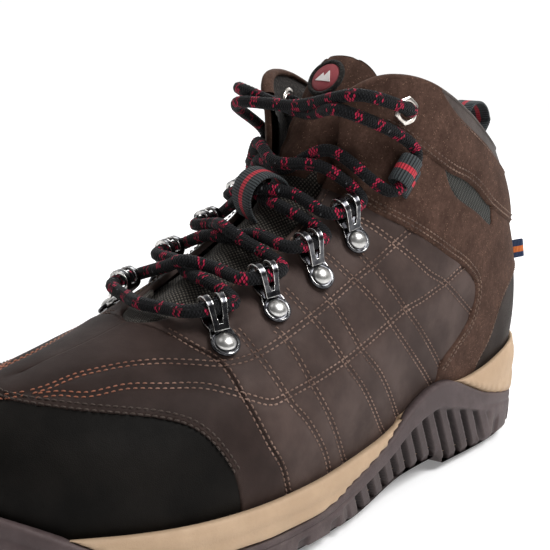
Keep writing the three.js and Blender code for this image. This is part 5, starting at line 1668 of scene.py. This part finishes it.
rimOuter = [(eyelet["across"], 0.7), (eyelet["across"], 1.5), (5.0, 1.95), (4.5, 2.0)]
rimInner = [(4.2, 2.25), (3.8, 2.2), (3.45, 1.8), (eyelet["hole"], 1.0)]
rimInner += [(eyelet["hole"], -eyelet["depth"]), (eyelet["neck"], -eyelet["depth"]), (eyelet["neck"], 0.7)]
washerProfile = [(4.4, -5.3), (4.4, -6.0), (5.2, -6.35), (6.0, -6.0), (6.0, -5.3), (4.4, -5.3)]
eyeletSegments = 60
for side, flip in (("lateral", 1), ("medial", -1)):
    axes = frameOn(eyeletSpot, flip)
    hexRim, _ = turnedOn(axes, rimOuter, eyeletSegments, hexLobes)
    barrel, _ = turnedOn(axes, rimInner, eyeletSegments)
    flange = Shape()
    flange.add(
        np.concatenate([hexRim, barrel]),
        gridFaces(len(rimOuter) + len(rimInner), eyeletSegments, closedRows=True, closedColumns=True)
    )
    flange.make(f"eyelet_{side}_flange", finishes["silver"], node=f"eyelet_{side}", slotName="silver")
    washer = Shape()
    washer.add(*turnedOn(axes, washerProfile, 48))
    washer.make(
        f"eyelet_washer_{side}_turned", finishes["silver"], node=f"eyelet_washer_{side}", slotName="silver"
    )
print("hooks and eyelets made")

# Webbing: bands swept along a path

webbing = dict(width=12, thickness=1.3, rib=1.1)
bandSection = [(-1, -0.25), (-0.92, -0.5), (-0.5, -0.5), (0, -0.5), (0.5, -0.5), (0.92, -0.5), (1, -0.25)]
bandSection += [(-s, -t) for s, t in bandSection]


def band(shape, path, sideDir, width, thickness):
    # path: points along the middle; the band's width runs along sideDir.
    path = np.asarray(path, float)
    tangent = unit(np.gradient(path, axis=0))
    sideDir = unit(np.broadcast_to(sideDir, path.shape))
    out = unit(np.cross(tangent, sideDir))
    run = np.concatenate([[0], np.cumsum(np.linalg.norm(np.diff(path, axis=0), axis=1))])
    rib = 1 + 0.1 * np.cos(2 * math.pi * run / (webbing["rib"] * mm))
    verts = np.stack(
        [path + sideDir * (s * width / 2) + out * (t * thickness * rib)[:, None] for s, t in bandSection], 1
    )
    n = len(bandSection)
    faces = gridFaces(len(path), n, closedColumns=True).tolist()
    faces += [list(range(n))[::-1], [(len(path) - 1) * n + k for k in range(n)]]
    shape.add(
        verts.reshape(-1, 3), faces, along=np.repeat(run, n),
        across=np.tile([s for s, _ in bandSection], len(path))
    )


def fine(points, spacing=0.35):
    return evenly(splineThrough(points, 10), spacing * mm)[0]


# The ankle loop lies on the suede, rounds the lace and dives back into a slit.
eyeRadius = laceRadius + 0.7
loopReach = 13
loopSeat = 0.7 + webbing["thickness"] + eyeRadius
for side, flip in (("lateral", 1), ("medial", -1)):
    axes = frameOn(ankleLoopSpot, flip)
    loop = Shape()
    flat = [(1.8, -1.8), (4, 0.3), (6.8, 1.3), (9, 1.35), (loopReach - 1, 1.35)]
    flat += arcPoints(loopReach, loopSeat, eyeRadius + 0.65, -80, 150, 9)
    flat += [(loopReach - eyeRadius - 2.4, 2.9), (4.6, 2.0), (2.6, -0.6)]
    local = np.array([(x, 0, z) for x, z in flat], float)
    band(loop, fine(placed(axes, local)), axes[2], webbing["width"] * mm, webbing["thickness"] * mm)
    loop.make(
        f"ankle_loop_{side}_webbing", finishes["webbing"], node=f"ankle_loop_{side}", slotName="webbing"
    )

tongueLoop = dict(station=6.28, span=9.5, high=13.5, turn=0.25, sunk=0.5)
archNormal = normal(tongueLoop["station"], 1.0)
archAlong = -np.cross([1.0, 0, 0], archNormal)
cosT, sinT = math.cos(-tongueLoop["turn"]), math.sin(-tongueLoop["turn"])
archAlong = unit(archAlong * cosT + np.cross(archNormal, archAlong) * sinT)
archSide = np.cross(archAlong, archNormal)
archBase = raised(tongueLoop["station"], 1.0, -tongueLoop["sunk"])
archPath = []
for a in np.linspace(0, math.pi, 13):
    forward = archAlong * (-tongueLoop["span"] * math.cos(a))
    archPath.append(
        archBase + (forward + archNormal * tongueLoop["high"] * max(math.sin(a), 0) ** 0.8) * mm
    )
arch = Shape()
band(arch, fine(archPath), archSide, webbing["width"] * mm, webbing["thickness"] * mm)
arch.make("tongue_loop_webbing", finishes["webbing"], node="tongue_loop", slotName="webbing")

# The heel pull loop: one leg outside the heel, one inside the lining, and an arc over the collar.
heelPull = dict(radius=9.8, rise=17, standOff=0.3 + 0.65)
gap = heelPull["standOff"]
legOut = [raised(12, 0.8, gap + 0.3), raised(12, 0.9, gap + 0.2), raised(12, 0.97, gap + 0.5)]
legIn = [raised(12, 0.97, -upperDepth - gap - 3), raised(12, 0.9, -upperDepth - gap - 5)]
loopMid = [
    (legOut[2][1] + legIn[0][1]) / 2 / mm + 1,
    surface(12, 1.0)[2] / mm + heelPull["rise"] - heelPull["radius"] - 0.65
]
heelArc = [
    np.array([centring[0], y, z]) * mm for y, z in arcPoints(*loopMid, heelPull["radius"], 0, 180, 9)
]
heelLoop = Shape()
band(
    heelLoop, fine([*legOut, *heelArc, *legIn]), np.array([1.0, 0, 0]), webbing["width"] * mm,
    webbing["thickness"] * mm
)
heelLoop.make("heel_pull_loop_webbing", finishes["webbing"], node="heel_pull_loop", slotName="webbing")

tagAxes = frameOn(((10.95, 0.47), (10.95, 0.6)), 1)
sideTag = dict(width=9, thickness=0.45, reach=6.2, halfGap=0.7)
tagHalf = [
    (0.0, sideTag["halfGap"], 0.35), (0.0, sideTag["halfGap"], 3), (0.0, 0.65, 5.4),
    (0.0, 0.3, sideTag["reach"])
]
tagFold = [(x, -y, z) for x, y, z in tagHalf] + tagHalf[::-1]
tag = Shape()
band(
    tag, fine(placed(tagAxes, np.array(tagFold)), 0.3), tagAxes[1], sideTag["width"] * mm,
    sideTag["thickness"] * mm
)
tag.make("heel_tag_folded", finishes["tag"], node="heel_tag", slotName="tag_fabric")
print("webbing made")

# Lace

# Where the lace leaves one side, crosses the middle and arrives at the other.
crossings = [
    dict(leave=(4.55, 0.9), middle=(4.65, 1), arrive=(4.75, 0.9)),
    dict(leave=(5.35, 0.9), middle=(5.45, 1), arrive=(5.55, 0.9)),
    dict(leave=(6.15, 0.9), middle=(6.28, 1), arrive=(6.4, 0.9)),
    dict(leave=(7.05, 0.89), free=(0, 3.6, 129), arrive=(7.32, 0.92)),
    dict(leave=(7.86, 0.99), free=(0.9, 12.5, 151), arrive=(8.1, 1.0), lift=7),
]
tongueFacing = np.array([0, -0.87, 0.5])
laceLift, overLift = laceRadius + 0.8, 2 * laceRadius + 0.6
laceInside = [(26.5, 36.5, 147), (27, 40, 139), (26.8, 42.5, 130), (26, 43, 118)]
agletEnd = (25, 42, 101)
flips = {"lateral": 1, "medial": -1}
other = {"lateral": "medial", "medial": "lateral"}


def throughPiece(axes, side, reach, seat, halfWidth):
    # The lace's two points on either side of a hook or loop.
    t = flips[side]
    return [
        placed(axes, (reach, t * (halfWidth + 3.3), seat)),
        placed(axes, (reach, -t * (halfWidth + 3.3), seat))
    ]


def crossTo(side, k, over):
    # From one side over the tongue to the other.
    spec = crossings[k]
    flip = flips[side]
    extra = overLift if over else 0
    lift = laceLift + spec.get("lift", 0) + extra * 0.25
    if "middle" in spec:
        mid = raised(spec["middle"][0], spec["middle"][1], 1.4 + extra)
    else:
        mid = (np.array(spec["free"]) + centring + tongueFacing * (laceLift + extra)) * mm
    (leaveU, leaveV), (arriveU, arriveV) = spec["leave"], spec["arrive"]
    return [raised(flip * leaveU, leaveV, lift), mid, raised(-flip * arriveU, arriveV, lift)]


def laceHalf(first, over):
    # One half of the lace, from the lowest hook up to the eyelet and inside.
    points, side = [], first
    for k, spot in enumerate(hookSpots):
        points += throughPiece(
            frameOn(spot, flips[side]), side, hookShape["reach"], laceSeat, hookShape["width"] / 2
        )
        points += crossTo(side, k, over)
        side = other[side]
    points += throughPiece(
        frameOn(ankleLoopSpot, flips[side]), side, loopReach, loopSeat, webbing["width"] / 2
    )
    points += crossTo(side, 4, over)
    side = other[side]
    axes = frameOn(eyeletSpot, flips[side])
    points += [placed(axes, p) for p in ((1.6, 0, 6.4), (0, 0, 2.6), (0, 0, -6.2 - 2.6))]
    return points + [(np.array([flips[side] * x, y, z]) + centring) * mm for x, y, z in laceInside]


laceBar = [raised(3.85, 0.9, laceLift), raised(3.8, 1.0, laceLift), raised(-3.85, 0.9, laceLift)]
laceRoute = laceHalf("lateral", False)[::-1] + laceBar + laceHalf("medial", True)


def centripetal(points, perSpan=14):
    # A curve through every point that doesn't overshoot where they lie close together.
    p = np.asarray(points, float)
    p = np.vstack([2 * p[0] - p[1], p, 2 * p[-1] - p[-2]])
    out = []
    for k in range(1, len(p) - 2):
        p0, p1, p2, p3 = p[k - 1 : k + 3]
        t0 = 0.0
        t1 = t0 + np.linalg.norm(p1 - p0) ** 0.5
        t2 = t1 + np.linalg.norm(p2 - p1) ** 0.5
        t3 = t2 + np.linalg.norm(p3 - p2) ** 0.5
        for t in np.linspace(t1, t2, perSpan, endpoint=False):
            a1 = (t1 - t) / (t1 - t0) * p0 + (t - t0) / (t1 - t0) * p1
            a2 = (t2 - t) / (t2 - t1) * p1 + (t - t1) / (t2 - t1) * p2
            a3 = (t3 - t) / (t3 - t2) * p2 + (t - t2) / (t3 - t2) * p3
            b1 = (t2 - t) / (t2 - t0) * a1 + (t - t0) / (t2 - t0) * a2
            b2 = (t3 - t) / (t3 - t1) * a2 + (t - t1) / (t3 - t1) * a3
            out.append((t2 - t) / (t2 - t1) * b1 + (t - t1) / (t2 - t1) * b2)
    out.append(p[-2])
    return np.array(out)


laceLine, laceLength = evenly(centripetal(laceRoute), 0.55 * mm)
print(f"lace length {laceLength:.3f} m")
tangents = unit(np.gradient(laceLine, axis=0))
laceSides = np.zeros_like(laceLine)
side = np.cross(tangents[0], [1.0, 0, 0])
for k, t in enumerate(tangents):
    side = side - t * (side @ t)
    side /= np.linalg.norm(side)
    laceSides[k] = side
laceUps = np.cross(tangents, laceSides)
segments, ridgePitch = 16, 2.1 * mm
angle = np.arange(segments) * 2 * math.pi / segments
run = np.linspace(0, laceLength, len(laceLine))
turns = angle[None] / (2 * math.pi) * 4
rightTwist = np.sin(math.pi * (run[:, None] / ridgePitch + turns))
leftTwist = np.sin(math.pi * (run[:, None] / ridgePitch - turns))
ridge = np.abs(rightTwist * leftTwist)
radius = laceRadius * (0.93 + 0.09 * ridge) * mm
verts = laceLine[:, None] + laceSides[:, None] * (np.cos(angle) * radius)[..., None]
verts = verts + laceUps[:, None] * (np.sin(angle) * radius)[..., None]
faces = gridFaces(len(laceLine), segments, closedColumns=True).tolist()
faces += [list(range(segments))[::-1], [(len(laceLine) - 1) * segments + k for k in range(segments)]]
braid = Shape()
braid.add(
    verts.reshape(-1, 3), faces, along=np.repeat(run, segments),
    turn=np.tile(angle / (2 * math.pi), len(laceLine))
)
braidTube = braid.make("lace_braid_tube", finishes["lace"], node="lace", slotName="lace_braid")
agletProfile = [(0.01, 0.4), (2.3, 0.5), (2.3, 1.2), (2.0, 2.0), (1.95, 15.5), (1.6, 16.6), (0.01, 16.9)]
for side, flip in flips.items():
    start = (np.array([flip * laceInside[-1][0], *laceInside[-1][1:]]) + centring) * mm
    end = (np.array([flip * agletEnd[0], *agletEnd[1:]]) + centring) * mm
    way = unit(end - start)
    across = unit(np.cross(way, [1.0, 0, 0]))
    tip = Shape()
    tip.add(*disc(agletProfile, 24, start, (across, np.cross(way, across), way)))
    tip.make(f"aglet_{side}_film", finishes["aglet"], node=f"aglet_{side}", slotName="aglet_film")

# Hidden pieces keep their CAD shape.
hiddenFinishes = {
    "toe_puff": "stiffener", "heel_counter": "stiffener", "ankle_padding": "foam", "shank": "steel",
    "insole_board": "board"
}
for node, finish in hiddenFinishes.items():
    kept = next(o for o in bpy.data.objects if o.get("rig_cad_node") == node)
    for slotIndex in range(len(kept.material_slots)):
        kept.material_slots[slotIndex].material = finishes[finish]
    if not kept.material_slots:
        kept.data.materials.append(finishes[finish])
print("lace made")

# Floor, light and camera

studio = dict(
    floor=(0.9, 0.9, 0.9), floorSize=8, floorGlow=0.2, farGlow=0.5, dark=0.14, bright=1.02,
    brightWay=(-0.69, 0.72, 0.05)
)
lights = {
    "keyLight": dict(place=(0.66, 0.16, 0.95), target=(0, 0, 0.06), size=0.55, power=12.5),
    "topLight": dict(place=(-0.1, -0.55, 0.95), target=(0, 0, 0.1), size=0.35, power=1.0),
    "backLight": dict(place=(-0.5, 0.8, 0.7), target=(0, 0, 0.1), size=0.5, power=4.0),
}
floorMaterial, w, shader = startMaterial("studioFloor", Roughness=0.7, Specular_IOR_Level=0.1)
shade = w.mix(
    w.ramp(w.noise(3.0, 2.0, vector=w.place()), 0.3, 0.7), studio["floor"],
    tuple(c * 0.99 for c in studio["floor"])
)
w.set(shader.inputs["Base Color"], shade)
w.set(shader.inputs["Emission Color"], (1, 1, 1))
away = w.ramp(w.node("VectorMath", {0: w.place()}, operation="LENGTH").outputs["Value"], 0.3, 1.4)
w.set(
    shader.inputs["Emission Strength"],
    w.math("ADD", studio["floorGlow"], w.math("MULTIPLY", away, studio["farGlow"]))
)
bpy.ops.mesh.primitive_plane_add(size=studio["floorSize"], location=(0, 0, 0))
floorPlane = bpy.context.object
floorPlane.name = "studio_floor"
floorPlane.data.materials.append(floorMaterial)

# The room is white behind the boot and dim in front of it.
world = bpy.data.worlds.new("studioWorld")
world.use_nodes = True
w = Wires(world.node_tree)
looking = w.node("TexCoord").outputs["Generated"]
towardsBackdrop = w.node(
    "VectorMath", {0: looking, 1: studio["brightWay"]}, operation="DOT_PRODUCT"
).outputs["Value"]
glow = w.math(
    "ADD", w.math("MULTIPLY", w.ramp(towardsBackdrop, -0.1, 0.7), studio["bright"] - studio["dark"]),
    studio["dark"]
)
backdrop = world.node_tree.nodes["Background"]
w.set(backdrop.inputs["Color"], (1, 1, 1))
w.set(backdrop.inputs["Strength"], glow)
scene.world = world
scene.view_settings.view_transform = "Standard"


def areaLight(name, place, target, size, power):
    data = bpy.data.lights.new(name, "AREA")
    data.energy, data.size = power, size
    lamp = bpy.data.objects.new(name, data)
    scene.collection.objects.link(lamp)
    lamp.location = place
    lamp.rotation_mode = "QUATERNION"
    lamp.rotation_quaternion = (Vector(target) - Vector(place)).to_track_quat("-Z", "Y")


for name, light in lights.items():
    areaLight(name, **light)

view = dict(place=(0.2594, -0.2753, 0.1665), turn=0.75807, tilt=0.2058, roll=0.04944, lens=62.41)
cameraData = bpy.data.cameras.new("shotCamera")
cameraData.lens, cameraData.sensor_width = view["lens"], 36
camera = bpy.data.objects.new("shotCamera", cameraData)
scene.collection.objects.link(camera)
turn, tilt, roll = view["turn"], view["tilt"], view["roll"]
right = np.array([math.cos(turn), math.sin(turn), 0])
upward = np.array([-math.sin(tilt) * math.sin(turn), math.sin(tilt) * math.cos(turn), math.cos(tilt)])
back = np.array([math.sin(turn) * math.cos(tilt), -math.cos(turn) * math.cos(tilt), math.sin(tilt)])
level = right
right = math.cos(roll) * level + math.sin(roll) * upward
upward = -math.sin(roll) * level + math.cos(roll) * upward
pose = Matrix.Identity(4)
for k in range(3):
    pose[k][0], pose[k][1], pose[k][2] = right[k], upward[k], back[k]
    pose[k][3] = view["place"][k] + centring[k] * mm
camera.matrix_world = pose
cameraData.clip_start, cameraData.clip_end = 0.01, 20
scene.camera = camera
